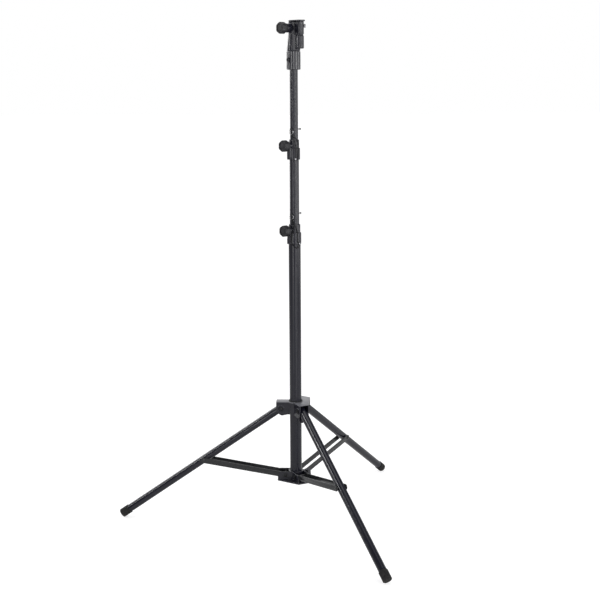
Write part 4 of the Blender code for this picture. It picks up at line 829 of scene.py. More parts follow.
def lathe(profile, sides=CAST_SIDES):
    """Turn an outline of (radius, height) points about the Z axis."""
    shape = bmesh.new()
    corners = [shape.verts.new((radius, 0, height)) for radius, height in profile]
    edges = [shape.edges.new(pair) for pair in zip(corners, corners[1:])]
    if profile[0][0] > 0:
        edges.append(shape.edges.new((corners[-1], corners[0])))
    bmesh.ops.spin(
        shape, geom=corners + edges, cent=(0, 0, 0), axis=(0, 0, 1),
        angle=2 * math.pi, steps=sides, use_merge=True,
    )
    return closed_mesh(shape)


def loft(rings):
    """Skin a stack of rings of equal counts and close both ends."""
    shape = bmesh.new()
    loops = [[shape.verts.new(point) for point in ring] for ring in rings]
    for lower, upper in zip(loops, loops[1:]):
        for step in range(len(lower)):
            following = (step + 1) % len(lower)
            shape.faces.new((lower[step], lower[following], upper[following], upper[step]))
    shape.faces.new(loops[0])
    shape.faces.new(loops[-1])
    return closed_mesh(shape)


def prism(outline, low, high):
    """Extrude an outline of (x, y) points from one height to another."""
    shape = bmesh.new()
    face = shape.faces.new([shape.verts.new((x, y, low)) for x, y in outline])
    grown = bmesh.ops.extrude_face_region(shape, geom=[face])
    raised = [item for item in grown["geom"] if isinstance(item, bmesh.types.BMVert)]
    bmesh.ops.translate(shape, verts=raised, vec=(0, 0, high - low))
    return closed_mesh(shape)


def plate_across(outline, inner, outer):
    """Extrude an outline of (reach, height) points across an arm."""
    mesh = prism(outline, inner, outer)
    mesh.transform(Matrix(((1, 0, 0, 0), (0, 0, 1, 0), (0, 1, 0, 0), (0, 0, 0, 1))))
    mesh.flip_normals()
    return mesh


def rib_mesh(sunk, root, raised, tip, low, high):
    """A rib along Z, sunk into its surface and raised from it, with half widths at its root and tip."""
    return prism([(-sunk, -root), (raised, -tip), (raised, tip), (-sunk, root)], low, high)


def rod(radius, low, high, sides=CAST_SIDES):
    return lathe([(0, low), (radius, low), (radius, high), (0, high)], sides)


def cross_rod(radius, low, high, place, sides=BOLT_SIDES):
    """A rod turned half a facet, so that no edge of it meets an edge of a body that it crosses."""
    return placed(placed(rod(radius, low, high, sides), Matrix.Rotation(math.pi / sides, 4, "Z")), place)


def hexagon(radius, low, high):
    angles = [math.pi / 3 * step for step in range(6)]
    return prism([(radius * math.cos(a), radius * math.sin(a)) for a in angles], low, high)


def solved(item):
    """The mesh of an object with its modifiers applied, after which the object is removed."""
    result = bpy.data.meshes.new_from_object(item.evaluated_get(bpy.context.evaluated_depsgraph_get()))
    bpy.data.objects.remove(item, do_unlink=True)
    return result


def baked(mesh, modifiers):
    """Apply a list of (kind, settings) modifiers to a mesh."""
    item = in_scene("baking", mesh)
    for kind, settings in modifiers:
        modifier = item.modifiers.new(kind.lower(), kind)
        for name, value in settings.items():
            setattr(modifier, name, value)
    return solved(item)


def combine(base, tool, operation):
    other = in_scene("tool", tool)
    result = baked(base, [("BOOLEAN", {"operation": operation, "solver": "EXACT", "object": other})])
    bpy.data.objects.remove(other, do_unlink=True)
    shape = bmesh.new()
    shape.from_mesh(result)
    bmesh.ops.dissolve_degenerate(shape, edges=shape.edges, dist=DEGENERATE_LENGTH)
    return closed_mesh(shape)


def united(meshes):
    result = meshes[0]
    for mesh in meshes[1:]:
        result = combine(result, mesh, "UNION")
    return result


def cut(base, tools):
    for tool in tools:
        base = combine(base, tool, "DIFFERENCE")
    return base


def gathered(meshes):
    """Put separate closed shapes into one mesh."""
    shape = bmesh.new()
    for mesh in meshes:
        shape.from_mesh(mesh)
    return plain_mesh(shape)


def eased(mesh, width, segments=3):
    """Round every sharp edge a little."""
    settings = {
        "width": width, "segments": segments, "use_clamp_overlap": True, "harden_normals": False,
        "limit_method": "ANGLE", "angle_limit": math.radians(BEVEL_ANGLE),
    }
    return baked(mesh, [("BEVEL", settings)])


def cast(mesh, grain, kept=CAST_KEPT):
    """Turn a sharp union into one skin with the soft fillets of a sand casting."""
    melt = ("REMESH", {"mode": "VOXEL", "voxel_size": grain, "use_smooth_shade": True})
    soften = ("SMOOTH", {"factor": 0.5, "iterations": CAST_SMOOTHINGS})
    thin_out = ("DECIMATE", {"decimate_type": "COLLAPSE", "ratio": kept})
    return baked(mesh, [melt, soften, thin_out])


def ring_of_copies_tree():
    """Geometry nodes: copies of a shape set round a circle, each turned to face outwards."""
    group = bpy.data.node_groups.new("ring_of_copies", "GeometryNodeTree")
    for name, kind in (("Shape", "Geometry"), ("Count", "Int"), ("Radius", "Float"), ("Finish", "Material")):
        group.interface.new_socket(name, in_out="INPUT", socket_type=f"NodeSocket{kind}")
    group.interface.new_socket("Copies", in_out="OUTPUT", socket_type="NodeSocketGeometry")
    nodes = Nodes(group)
    given = {output.name: Socket(nodes, output) for output in group.nodes.new("NodeGroupInput").outputs}
    size = {"Vertices": given["Count"], "Radius": given["Radius"]}
    circle = nodes.node("GeometryNodeMeshCircle", inputs=size)
    angle = nodes.math("DIVIDE", nodes.node("GeometryNodeInputIndex") * (2 * math.pi), given["Count"])
    facing = nodes.node("ShaderNodeCombineXYZ", inputs={"Z": angle})
    places = {"Points": circle, "Instance": given["Shape"], "Rotation": facing}
    copies = nodes.node("GeometryNodeInstanceOnPoints", inputs=places)
    real = nodes.node("GeometryNodeRealizeInstances", inputs={0: copies})
    coated = nodes.node("GeometryNodeSetMaterial", inputs={"Geometry": real, "Material": given["Finish"]})
    nodes.set_input(group.nodes.new("NodeGroupOutput").inputs[0], coated)
    return group


def ring_of_copies(mesh, count, radius, coat):
    """Set copies of a mesh round a circle with the geometry nodes above, and bake the result."""
    item = in_scene("ring", mesh)
    modifier = item.modifiers.new("ring_of_copies", "NODES")
    modifier.node_group = COPIES_TREE
    sockets = {entry.name: entry.identifier for entry in COPIES_TREE.interface.items_tree}
    for name, value in (("Count", count), ("Radius", radius), ("Finish", coat.finish)):
        modifier[sockets[name]] = value
    item.update_tag()
    return solved(item)


def add_piece(name, mesh, coat, body, node=None, place=None, sharp=SHARP_ANGLE):
    """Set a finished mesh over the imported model: it stands for a node and rides on the node's body."""
    if place is not None:
        mesh.transform(place)
    mesh.transform(STAND_PLACE)
    mesh.name = name
    mesh.materials.clear()
    mesh.materials.append(coat.finish)
    for face in mesh.polygons:
        face.material_index = 0
    mesh.shade_smooth()
    mesh.set_sharp_from_angle(angle=math.radians(sharp))
    item = in_scene(name, mesh)
    if node:
        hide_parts(node)
    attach(item, body)


# Cords

def smooth_route(points):
    """Points read at an even spacing from a smooth curve through the route's own points."""
    ends = [points[0] * 2 - points[1], *points, points[-1] * 2 - points[-2]]
    route = []
    for before, start, finish, after in zip(ends, ends[1:], ends[2:], ends[3:]):
        steps = max(1, round((finish - start).length / CORD_ROUTE_SPACING))
        handle_out = start + (finish - before) / 6
        handle_in = finish - (after - start) / 6
        route += interpolate_bezier(start, handle_out, handle_in, finish, steps + 1)[:-1]
    return [*route, points[-1]]


def cord_mesh(points):
    """A round tube swept along points without twist, with a UV map that runs round and along it."""
    shape = bmesh.new()
    cord_uv = shape.loops.layers.uv.new("cord")
    before = [points[0], *points[:-1]]
    after = [*points[1:], points[-1]]
    tangents = [(ahead - behind).normalized() for behind, ahead in zip(before, after)]
    side = tangents[0].orthogonal().normalized()
    loops = []
    travelled = []
    for point, behind, tangent in zip(points, before, tangents):
        side = (side - tangent * side.dot(tangent)).normalized()
        other = tangent.cross(side)
        angles = [2 * math.pi * around / CORD_SIDES for around in range(CORD_SIDES)]
        spokes = [(side * math.cos(angle) + other * math.sin(angle)) * CORD_RADIUS for angle in angles]
        loops.append([shape.verts.new(point + spoke) for spoke in spokes])
        travelled.append((travelled[-1] if travelled else 0.0) + (point - behind).length)
    for step in range(len(loops) - 1):
        for around in range(CORD_SIDES):
            corners = ((around, step), (around + 1, step), (around + 1, step + 1), (around, step + 1))
            face = shape.faces.new([loops[ring][turned % CORD_SIDES] for turned, ring in corners])
            for loop, (turned, ring) in zip(face.loops, corners):
                loop[cord_uv].uv = (turned / CORD_SIDES, travelled[ring] / (2 * CORD_RADIUS))
    shape.faces.new(reversed(loops[0]))
    shape.faces.new(loops[-1])
    return plain_mesh(shape), travelled[-1]


def add_lanyard(name, route, base_height, body):
    """Each lanyard leaves its eyelet, passes through the pin's ring and comes back to the eyelet."""
    places = [
        STAND_PLACE @ turn(angle) @ Vector((reach, 0, height + base_height)) for angle, reach, height in route
    ]
    points = smooth_route(places)
    mesh, length = cord_mesh(points)
    mesh.name = name
    mesh.materials.append(CORD_BLACK)
    mesh.shade_smooth()
    item = in_scene(f"{name}_cord", mesh)
    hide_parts(name)
    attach(item, body)


# Column tubes

def tube_mesh(radius, low, high, wall=TUBE_WALL):
    """A drawn tube with both ends deburred."""
    inner = radius - wall
    edge = TURNED_EDGE
    bottom = [(inner, low + edge), (inner + edge, low), (radius - edge, low), (radius, low + edge)]
    top = [(radius, high - edge), (radius - edge, high), (inner + edge, high), (inner, high - edge)]
    return lathe(bottom + top, TUBE_SIDES)


def foot_plug_mesh(radius, outer_radius, seat):
    """The plug in a sliding tube's foot, whose flange runs in the tube outside."""
    flange = outer_radius - TUBE_WALL - SLIDE_GAP
    spigot = radius - TUBE_WALL - SEAT_GAP
    bottom = seat - PLUG_FLANGE
    return lathe([
        (spigot - PLUG_WALL, bottom), (flange - TURNED_EDGE, bottom), (flange, bottom + TURNED_EDGE),
        (flange, seat), (spigot, seat), (spigot, seat + PLUG_HEIGHT),
        (spigot - PLUG_WALL, seat + PLUG_HEIGHT),
    ])


def add_tubes():
    """The three tubes of the column, and the plugs in the feet of the two that slide."""
    lower = tube_mesh(LOWER_TUBE_RADIUS, LOWER_TUBE_Z, LOWER_TUBE_Z + LOWER_TUBE_LENGTH)
    add_piece("lower_tube", lower, TUBE_BLACK, "column", "column_lower_tube")
    stages = [
        ("middle", MIDDLE_TUBE_RADIUS, LOWER_TUBE_RADIUS, MIDDLE_TUBE_Z, MIDDLE_TUBE_LENGTH, LOWER_PIN_Z),
        ("top", TOP_TUBE_RADIUS, MIDDLE_TUBE_RADIUS, TOP_TUBE_Z, TOP_TUBE_LENGTH, UPPER_PIN_Z),
    ]
    for name, radius, outer_radius, bottom, length, pin_height in stages:
        body = f"{name}_stage"
        pin_place = outward(PIN_ANGLE, 0, pin_height)
        pin_hole = cross_rod(PIN_HOLE_RADIUS, -2 * radius, 2 * radius, pin_place)
        tube = cut(tube_mesh(radius, bottom, bottom + length), [pin_hole])
        add_piece(f"{name}_tube", tube, SLIDING_TUBE_BLACK, body, f"column_{name}_tube")
        plug = foot_plug_mesh(radius, outer_radius, bottom - SEAT_GAP)
        add_piece(f"{name}_guide_plug", plug, NYLON, body, f"{name}_tube_foot_plug")


# Knobs

def knob_mesh(length, stud_length):
    """A lobed knob along Z with a rounded rim, a dished face and a necked base, its stud reaching below."""
    dish = length - KNOB_FACE_DEPTH
    rings = [
        (STUD_RADIUS, 0, -stud_length), (STUD_RADIUS, 0, 0), (KNOB_NECK_RADIUS - KNOB_NECK_EDGE, 0, 0),
        (KNOB_NECK_RADIUS, 0, KNOB_NECK_EDGE), (KNOB_NECK_RADIUS, 0, KNOB_NECK_LENGTH - KNOB_EDGE / 2),
    ]
    for angle in quarter_turn(4):
        radius = KNOB_RADIUS - KNOB_EDGE * (1 - math.sin(angle))
        rings.append((radius, KNOB_LOBE_DEPTH, KNOB_NECK_LENGTH + KNOB_EDGE * (1 - math.cos(angle))))
    for angle in quarter_turn(5):
        radius = KNOB_RADIUS - KNOB_EDGE * (1 - math.cos(angle))
        rings.append((radius, KNOB_LOBE_DEPTH, length - KNOB_EDGE + KNOB_EDGE * math.sin(angle)))
    rings += [
        (KNOB_FACE_RADIUS + KNOB_FACE_EDGE, 0, length), (KNOB_FACE_RADIUS, 0, length - KNOB_FACE_EDGE),
        (KNOB_FACE_RADIUS, 0, dish), *((radius, 0, dish + rise) for radius, rise in KNOB_CROWN),
    ]

    def ring(radius, lobe_depth, height):
        def radius_at(angle):
            return radius - lobe_depth * (1 - math.cos(KNOB_LOBES * angle)) / 2
        return ring_points(radius_at, height, KNOB_LOBES * KNOB_LOBE_SIDES)

    return loft([ring(*sizes) for sizes in rings])


def add_knob(name, node, length, stud_length, place, body):
    """A hand knob with short stiffening ribs round its neck."""
    rib = rib_mesh(*KNOB_NECK_RIB, KNOB_NECK_RIB_BOTTOM, KNOB_NECK_LENGTH + KNOB_NECK_RIB_OVERLAP)
    rib = eased(rib, KNOB_NECK_RIB_EDGE, 1)
    ribs = ring_of_copies(rib, KNOB_NECK_RIBS, KNOB_NECK_RADIUS, KNOB_BLACK)
    add_piece(name, gathered([knob_mesh(length, stud_length), ribs]), KNOB_BLACK, body, node, place)


# Clamps

def collar_mesh(skirt_bore, skirt, neck_bore, rib_reach, eyelet_angle):
    """A clamp collar cast in one with its boss, the rib below the boss and the lug of the eyelet."""
    neck = neck_bore + COLLAR_NECK_WALL
    edge = COLLAR_EDGE
    shoulder = COLLAR_SKIRT_HEIGHT
    outside = lathe([
        (0, 0), (skirt - edge, 0), (skirt, edge), (skirt, shoulder - edge), (skirt - edge, shoulder),
        (neck, shoulder + edge / 2), (neck, COLLAR_HEIGHT - edge), (neck - edge / 2, COLLAR_HEIGHT),
        (0, COLLAR_HEIGHT),
    ])
    boss_place = outward(COLLAR_BOSS_ANGLE, 0, COLLAR_BOSS_HEIGHT)
    boss = cross_rod(COLLAR_BOSS_RADIUS, 0, COLLAR_BOSS_REACH, boss_place)
    boss_face = COLLAR_BOSS_REACH - edge
    rib_outline = [
        (0, edge / 2), (rib_reach - edge, edge / 2), (rib_reach, 2 * edge),
        (rib_reach, COLLAR_BOSS_HEIGHT - RIB_SHOULDER_BELOW_BOSS),
        (boss_face, COLLAR_BOSS_HEIGHT - COLLAR_BOSS_RADIUS), (boss_face, COLLAR_BOSS_HEIGHT),
        (0, COLLAR_BOSS_HEIGHT),
    ]
    half_rib = COLLAR_RIB_WIDTH / 2
    rib = placed(plate_across(rib_outline, -half_rib, half_rib), turn(COLLAR_BOSS_ANGLE))
    lug_place = outward(eyelet_angle, 0, EYELET_ABOVE_BOTTOM)
    lug = cross_rod(EYELET_LUG_RADIUS, 0, skirt + EYELET_LUG_STANDOFF, lug_place)
    bore = lathe([
        (0, -2 * CUT_PAST), (skirt_bore, -2 * CUT_PAST), (skirt_bore, COLLAR_LEDGE),
        (neck_bore, COLLAR_LEDGE), (neck_bore, COLLAR_HEIGHT + CUT_PAST), (0, COLLAR_HEIGHT + CUT_PAST),
    ])
    stud_hole = cross_rod(STUD_HOLE_RADIUS, 0, 2 * COLLAR_BOSS_REACH, boss_place)
    return cast(cut(united([outside, boss, rib, lug]), [bore, stud_hole]), COLLAR_GRAIN)


def eyelet_mesh():
    """The turned eyelet that holds a lanyard, with a groove round it for the cord."""
    hole = RIVET_SHANK_RADIUS + HOLE_CLEARANCE
    rim = EYELET_RADIUS
    top = EYELET_THICKNESS
    profile = [
        (hole, 0), (rim - EYELET_EDGE, 0), (rim, EYELET_EDGE), (rim, EYELET_RIM),
        (rim - EYELET_GROOVE_DEPTH, top / 2),
        (rim, top - EYELET_RIM), (rim, top - EYELET_EDGE), (rim - EYELET_EDGE, top), (hole, top),
    ]
    return lathe(profile, BOLT_SIDES)


def rivet_mesh(seat):
    """A rivet with a low dome, its head on a seat above the face that its shank goes into."""
    rim = seat + RIVET_HEAD_RIM
    dome = [
        (RIVET_HEAD_RADIUS * math.cos(a), rim + (RIVET_HEAD_HEIGHT - RIVET_HEAD_RIM) * math.sin(a))
        for a in quarter_turn(6)[:-1]
    ]
    shank = [(0, -RIVET_DEPTH), (RIVET_SHANK_RADIUS, -RIVET_DEPTH), (RIVET_SHANK_RADIUS, seat)]
    return lathe([*shank, (RIVET_HEAD_RADIUS, seat), *dome, (0, seat + RIVET_HEAD_HEIGHT)], BOLT_SIDES)


def add_clamp(name, body, height, tube_radius, slider_radius, skirt_wall, bush_wall, rib_reach, eyelet_angle):
    """A clamp collar on its tube's top end, with its bush, knob, lanyard eyelet and rivet."""
    base = upright(height)
    skirt_bore = tube_radius + SEAT_GAP
    skirt = skirt_bore + skirt_wall
    bush_outer = slider_radius + SLIDE_GAP + bush_wall
    collar = collar_mesh(skirt_bore, skirt, bush_outer + SEAT_GAP, rib_reach, eyelet_angle)
    add_piece(f"{name}_collar", collar, CAST_BLACK, body, f"{name}_clamp_collar", base, ALL_SMOOTH)
    bush = tube_mesh(bush_outer, COLLAR_LEDGE + SEAT_GAP, COLLAR_HEIGHT - COLLAR_EDGE / 2, bush_wall)
    stud_place = outward(COLLAR_BOSS_ANGLE, 0, COLLAR_BOSS_HEIGHT)
    bush = cut(bush, [cross_rod(STUD_HOLE_RADIUS, 0, 2 * bush_outer, stud_place)])
    add_piece(f"{name}_bush", bush, NYLON, body, f"{name}_collar_bush", base)
    knob_base = COLLAR_BOSS_REACH + SEAT_GAP
    knob_place = outward(COLLAR_BOSS_ANGLE, knob_base, height + COLLAR_BOSS_HEIGHT)
    add_knob(f"{name}_clamp_knob", f"{name}_collar_knob", KNOB_LENGTH, knob_base - slider_radius - SLIDE_GAP,
             knob_place, f"{name}_knob")
    lug_face = skirt + EYELET_LUG_STANDOFF
    lug_height = height + EYELET_ABOVE_BOTTOM
    eyelet_place = outward(eyelet_angle, lug_face + SEAT_GAP, lug_height)
    add_piece(f"{name}_eyelet", eyelet_mesh(), BOLT_BLACK, body, f"{name}_lanyard_eyelet", eyelet_place)
    rivet = rivet_mesh(2 * SEAT_GAP + EYELET_THICKNESS)
    rivet_place = outward(eyelet_angle, lug_face, lug_height)
    add_piece(f"{name}_rivet", rivet, SCREW_STEEL, body, f"{name}_eyelet_rivet", rivet_place)


# Safety pins

def pin_grip_mesh(low, high, head):
    """The moulded grip on the pin's head, with grooves for the fingers and a hole for the ring."""
    radius = PIN_GRIP_RADIUS
    groove = PIN_GROOVE_DEPTH
    profile = [(0, low), (radius - groove, low), (radius, low + groove)]
    for step in range(PIN_GROOVES):
        start = low + PIN_GROOVE_START + step * PIN_GROOVE_PITCH
        profile += [(radius, start), (radius - groove, start + groove / 2), (radius, start + groove)]
    inset, drop = PIN_GRIP_SHOULDER
    profile += [(radius, high - PIN_GRIP_ROUND), (radius - inset, high - drop)]
    profile += [(radius - PIN_GRIP_ROUND, high), (0, high)]
    socket = rod(PIN_RADIUS + HOLE_CLEARANCE, low - PIN_GRIP_LENGTH, head + SEAT_GAP, BOLT_SIDES)
    ring_centre = Matrix.Translation((PIN_RING_HOLE_DROP, 0, low - PIN_GRIP_STANDOFF + PIN_RING_OUT))
    ring_place = ring_centre @ Matrix.Rotation(math.pi / 2, 4, "X")
    ring_hole = cross_rod(PIN_RING_HOLE, -2 * radius, 2 * radius, ring_place)
    return cut(lathe(profile, BOLT_SIDES), [socket, ring_hole])


def add_safety_pin(name, tube_radius, height):
    """A turned pin through a tube, with a blunt tip wider than its rod, a grip and a wire ring."""
    body = f"{name}_pin"
    place = outward(PIN_ANGLE, 0, height)
    grip_low = tube_radius + PIN_GRIP_STANDOFF
    head = grip_low + PIN_HEAD_DEPTH
    tip = -PIN_TIP_REACH
    waist = tip + PIN_TIP_LENGTH
    pin_profile = [(0, waist), (PIN_RADIUS, waist), (PIN_RADIUS, head - TURNED_EDGE)]
    pin_profile += [(PIN_RADIUS - TURNED_EDGE, head), (0, head)]
    add_piece(f"{name}_pin_rod", lathe(pin_profile, BOLT_SIDES), PIN_STEEL, body, f"{name}_safety_pin", place)
    nose = [(PIN_TIP_RADIUS * share, tip + rise) for share, rise in PIN_TIP_NOSE]
    neck = [(PIN_TIP_RADIUS, waist - PIN_TIP_TAPER), (PIN_RADIUS, waist)]
    blunt_tip = lathe([(0, tip), *nose, *neck, (0, waist)], BOLT_SIDES)
    add_piece(f"{name}_pin_tip", blunt_tip, PIN_TIP_BLACK, body, place=place)
    grip = pin_grip_mesh(grip_low, grip_low + PIN_GRIP_LENGTH, head)
    add_piece(f"{name}_pin_handle", grip, KNOB_BLACK, body, f"{name}_pin_grip", place)
    wire = [(PIN_RING_RADIUS + x, y) for x, y, z in ring_points(lambda a: PIN_RING_WIRE, 0, CORD_SIDES)]
    ring = placed(lathe(wire, TUBE_SIDES), Matrix.Rotation(math.pi / 2, 4, "Y"))
    ring_place = upright(height - PIN_RING_RADIUS, PIN_ANGLE, tube_radius + PIN_RING_OUT)
    add_piece(f"{name}_pin_pull_ring", ring, RING_STEEL, body, f"{name}_pin_ring", ring_place)


# Bolts and screws

def spacer_rim(end):
    """The turned edge at a spacer's end."""
    return [(SPACER_RADIUS, end - TURNED_EDGE), (SPACER_RADIUS - TURNED_EDGE, end)]


def mirrored(profile):
    """A profile of the half above the middle, completed with its mirror image below."""
    return [(radius, -height) for radius, height in reversed(profile)] + profile


def bolt_mesh(half_grip, spacer_end=None):
    """A button-head bolt along Z with washers and a lock nut, and an optional spacer in the middle."""
    shank = PIVOT_BOLT_RADIUS
    seat = half_grip + SEAT_GAP
    top = seat + WASHER_THICKNESS
    nut_end = -seat - BOLT_NUT_HEIGHT
    profile = [
        (0, nut_end - BOLT_PAST_NUT), (shank - BOLT_END_EDGE, nut_end - BOLT_PAST_NUT),
        (shank, nut_end - BOLT_END_EDGE), (shank, -top), (WASHER_RADIUS, -top), (WASHER_RADIUS, -seat),
        (shank, -seat),
    ]
    if spacer_end:
        profile += mirrored([*spacer_rim(spacer_end), (shank, spacer_end)])
    profile += [(shank, seat), (WASHER_RADIUS, seat), (WASHER_RADIUS, top), (BOLT_HEAD_RADIUS, top)]
    crown = BOLT_HEAD_HEIGHT - WASHER_THICKNESS
    for angle in quarter_turn(8)[1:7]:
        fullness = math.cos(angle) ** BOLT_HEAD_FULLNESS
        profile.append((BOLT_HEAD_RADIUS * fullness, top + crown * math.sin(angle)))
    profile.append((0, top + crown * BOLT_HEAD_FLAT))
    socket = hexagon(BOLT_SOCKET_RADIUS, top + crown * BOLT_SOCKET_FLOOR, top + 2 * crown)
    nut = eased(hexagon(BOLT_HEAD_RADIUS, nut_end, -top), TURNED_EDGE, 2)
    return gathered([cut(lathe(profile, BOLT_SIDES), [socket]), nut])


def screw_mesh(shank_length, coat):
    """A cylinder-head screw along Z with a hexagon socket and a knurled rim."""
    head = SCREW_HEAD_HEIGHT
    rim = SCREW_HEAD_RADIUS - KNURL_DEPTH
    profile = [
        (0, -shank_length), (SCREW_SHANK_RADIUS, -shank_length), (SCREW_SHANK_RADIUS, SEAT_GAP),
        (rim, SEAT_GAP), (rim, head - SCREW_CHAMFER), (SCREW_HEAD_RADIUS - SCREW_RIM, head), (0, head),
    ]
    socket = hexagon(SCREW_SOCKET_RADIUS, head - SCREW_SOCKET_DEPTH, head + CUT_PAST)
    triangle = [(-KNURL_DEPTH, -KNURL_DEPTH), (KNURL_DEPTH, 0.0), (-KNURL_DEPTH, KNURL_DEPTH)]
    tooth = prism(triangle, SCREW_RIM, head - SCREW_RIM)
    knurl = ring_of_copies(tooth, KNURL_TEETH, rim, coat)
    return gathered([cut(lathe(profile, BOLT_SIDES), [socket]), knurl])


# Hub

def hub_cheek_mesh(side):
    """One cheek of a leg's fork, with a raised ring round the pivot bolt's hole."""
    top = HUB_TOP_ABOVE_PIVOT
    inner = HUB_CHEEK_INNER
    outer = HUB_CHEEK_OUTER
    root = math.sqrt(HUB_SLEEVE_RADIUS**2 - outer**2) - CAST_EDGE
    underside = [(HUB_CHEEK_REACH - inset, top - drop) for inset, drop in HUB_CHEEK_UNDERSIDE]
    outline = [(root, top), (HUB_CHEEK_REACH, top), *underside, (root, top - HUB_SLEEVE_HEIGHT)]
    pivot = crosswise(0, HUB_PIVOT_REACH, 0)
    boss = cross_rod(HUB_BOSS_RADIUS, *on_side(side, inner, outer + HUB_BOSS_HEIGHT), pivot)
    hole = cross_rod(BOLT_HOLE_RADIUS, -2 * outer, 2 * outer, pivot)
    seat = cross_rod(WASHER_RADIUS + HUB_WASHER_MARGIN, *on_side(side, outer, 2 * outer), pivot)
    return cut(united([plate_across(outline, *on_side(side, inner, outer)), boss]), [hole, seat])


def hub_casting_mesh(low, top):
    """The hub's sleeve with its three leg forks and the tab that carries the knob."""
    sleeve = lathe([
        (0, low), (HUB_SLEEVE_RADIUS - CAST_EDGE, low), (HUB_SLEEVE_RADIUS, low + CAST_EDGE),
        (HUB_SLEEVE_RADIUS, top), (0, top),
    ])
    cheeks = [placed(hub_cheek_mesh(side), turn(angle)) for angle in LEG_ANGLES.values() for side in (-1, 1)]
    tab_bottom = -HUB_KNOB_BELOW_PIVOT - HUB_TAB_BELOW_KNOB
    tab_top = low + 3 * HUB_TAB_CHAMFER
    tab_outline = [
        (0, tab_bottom), (HUB_TAB_OUTER - HUB_TAB_CHAMFER, tab_bottom),
        (HUB_TAB_OUTER, tab_bottom + HUB_TAB_CHAMFER), (HUB_TAB_OUTER, low + HUB_TAB_CHAMFER),
        (HUB_SLEEVE_RADIUS - CAST_EDGE, tab_top), (0, tab_top),
    ]
    tab = plate_across(tab_outline, -HUB_TAB_HALF_WIDTH, HUB_TAB_HALF_WIDTH)
    bore = rod(HUB_BORE, 2 * tab_bottom, 2 * top)
    stud_hole = cross_rod(STUD_HOLE_RADIUS, 0, 2 * HUB_TAB_OUTER, outward(0, 0, -HUB_KNOB_BELOW_PIVOT))
    return cast(cut(united([sleeve, *cheeks, tab]), [bore, stud_hole]), HUB_GRAIN)


def star_outline(reach, half_width, disc, webbed):
    """Outline of three straight arms joined by a round middle, or by a straight web after the arm named."""
    corner = math.asin(half_width / disc)
    steps = HUB_PLATE_ARC_STEPS
    outline = []
    for name, angle in LEG_ANGLES.items():
        middle = math.radians(angle)
        for side in (-1, 1):
            outline.append((math.hypot(reach, half_width), middle + math.atan2(side * half_width, reach)))
        if name == webbed:
            continue
        arc_start = middle + corner
        arc_end = middle + 2 * math.pi / 3 - corner
        outline += [(disc, arc_start + (arc_end - arc_start) * step / steps) for step in range(steps + 1)]
    return [(radius * math.cos(angle), radius * math.sin(angle)) for radius, angle in outline]


def add_hub():
    """The sliding casting, its bush with a lip above the top plate, the plate, knob and pivot bolts."""
    top = HUB_TOP_ABOVE_PIVOT
    low = top - HUB_SLEEVE_HEIGHT
    base = upright(LEG_PIVOT_Z)
    bore = LOWER_TUBE_RADIUS + SLIDE_GAP
    add_piece("hub_body", hub_casting_mesh(low, top), CAST_BLACK, "hub", "hub_casting", base, ALL_SMOOTH)
    bush = tube_mesh(HUB_BUSH_RADIUS, low - HUB_BUSH_WALL, top, HUB_BUSH_WALL)
    add_piece("hub_liner", bush, NYLON, "hub", "hub_bush", base)
    bottom = top + SEAT_GAP
    outline = star_outline(HUB_CHEEK_REACH, HUB_CHEEK_OUTER, HUB_SLEEVE_RADIUS + HUB_PLATE_DISC_MARGIN, "b")
    plate = prism(outline, bottom, bottom + HUB_PLATE_THICKNESS)
    plate = eased(cut(plate, [rod(bore, bottom - CUT_PAST, bottom + CUT_PAST, TUBE_SIDES)]), PRESSED_EDGE)
    add_piece("hub_plate", plate, HUB_PLATE, "hub", "hub_top_plate", base)
    lip_bottom = bottom + HUB_PLATE_THICKNESS + SEAT_GAP
    lip = tube_mesh(bore + HUB_LIP_WALL, lip_bottom, lip_bottom + HUB_LIP_HEIGHT, HUB_LIP_WALL)
    add_piece("hub_bush_lip", lip, NYLON, "hub", place=base)
    knob_base = HUB_TAB_OUTER + SEAT_GAP
    knob_place = base @ outward(0, knob_base, -HUB_KNOB_BELOW_PIVOT)
    stud_length = knob_base - LOWER_TUBE_RADIUS - SLIDE_GAP
    add_knob("hub_clamp_knob", "hub_knob", HUB_KNOB_LENGTH, stud_length, knob_place, "hub_lock_knob")
    for name, angle in LEG_ANGLES.items():
        add_piece(f"leg_bolt_{name}", bolt_mesh(HUB_CHEEK_OUTER), BOLT_BLACK, "hub", f"leg_pivot_bolt_{name}",
                  base @ crosswise(angle, HUB_PIVOT_REACH, 0))


# Legs, braces and the bracket

def foot_cap_mesh():
    """A rubber boot over the leg's end with a rolled mouth, a waist, a tread and moulded ribs."""
    outer = FOOT_CAP_RADIUS
    end = -LEG_LENGTH
    mouth = end + FOOT_CAP_LENGTH
    floor = end + FOOT_CAP_FLOOR
    rounding = [
        (outer - FOOT_CAP_ROUND * (1 - math.cos(angle)), end + FOOT_CAP_ROUND * (1 - math.sin(angle)))
        for angle in quarter_turn(6)
    ]
    tread = []
    for step in range(TREAD_GROOVES):
        start = end + FOOT_CAP_ROUND + TREAD_BOTTOM + step * TREAD_PITCH
        tread += [(outer - TREAD_DEPTH, start), (outer - TREAD_DEPTH, start + TREAD_GROOVE_HEIGHT)]
        tread += [(outer, start + TREAD_SLOPE_TOP), (outer, start + TREAD_TOP)]
    lip = [(outer - inset, mouth - drop) for inset, drop in FOOT_CAP_LIP]
    waist = (outer - FOOT_CAP_WAIST, tread[-1][1] + CAST_EDGE)
    boot = lathe([
        (0, floor), (FOOT_CAP_BORE, floor), (FOOT_CAP_BORE, mouth), *lip, waist, *reversed(tread), *rounding,
        (0, end),
    ])
    rib = rib_mesh(*FOOT_RIB, end + FOOT_RIB_BOTTOM, mouth - FOOT_RIB_BELOW_MOUTH)
    return gathered([boot, ring_of_copies(rib, FOOT_RIBS, outer - FOOT_CAP_WAIST, RUBBER)])


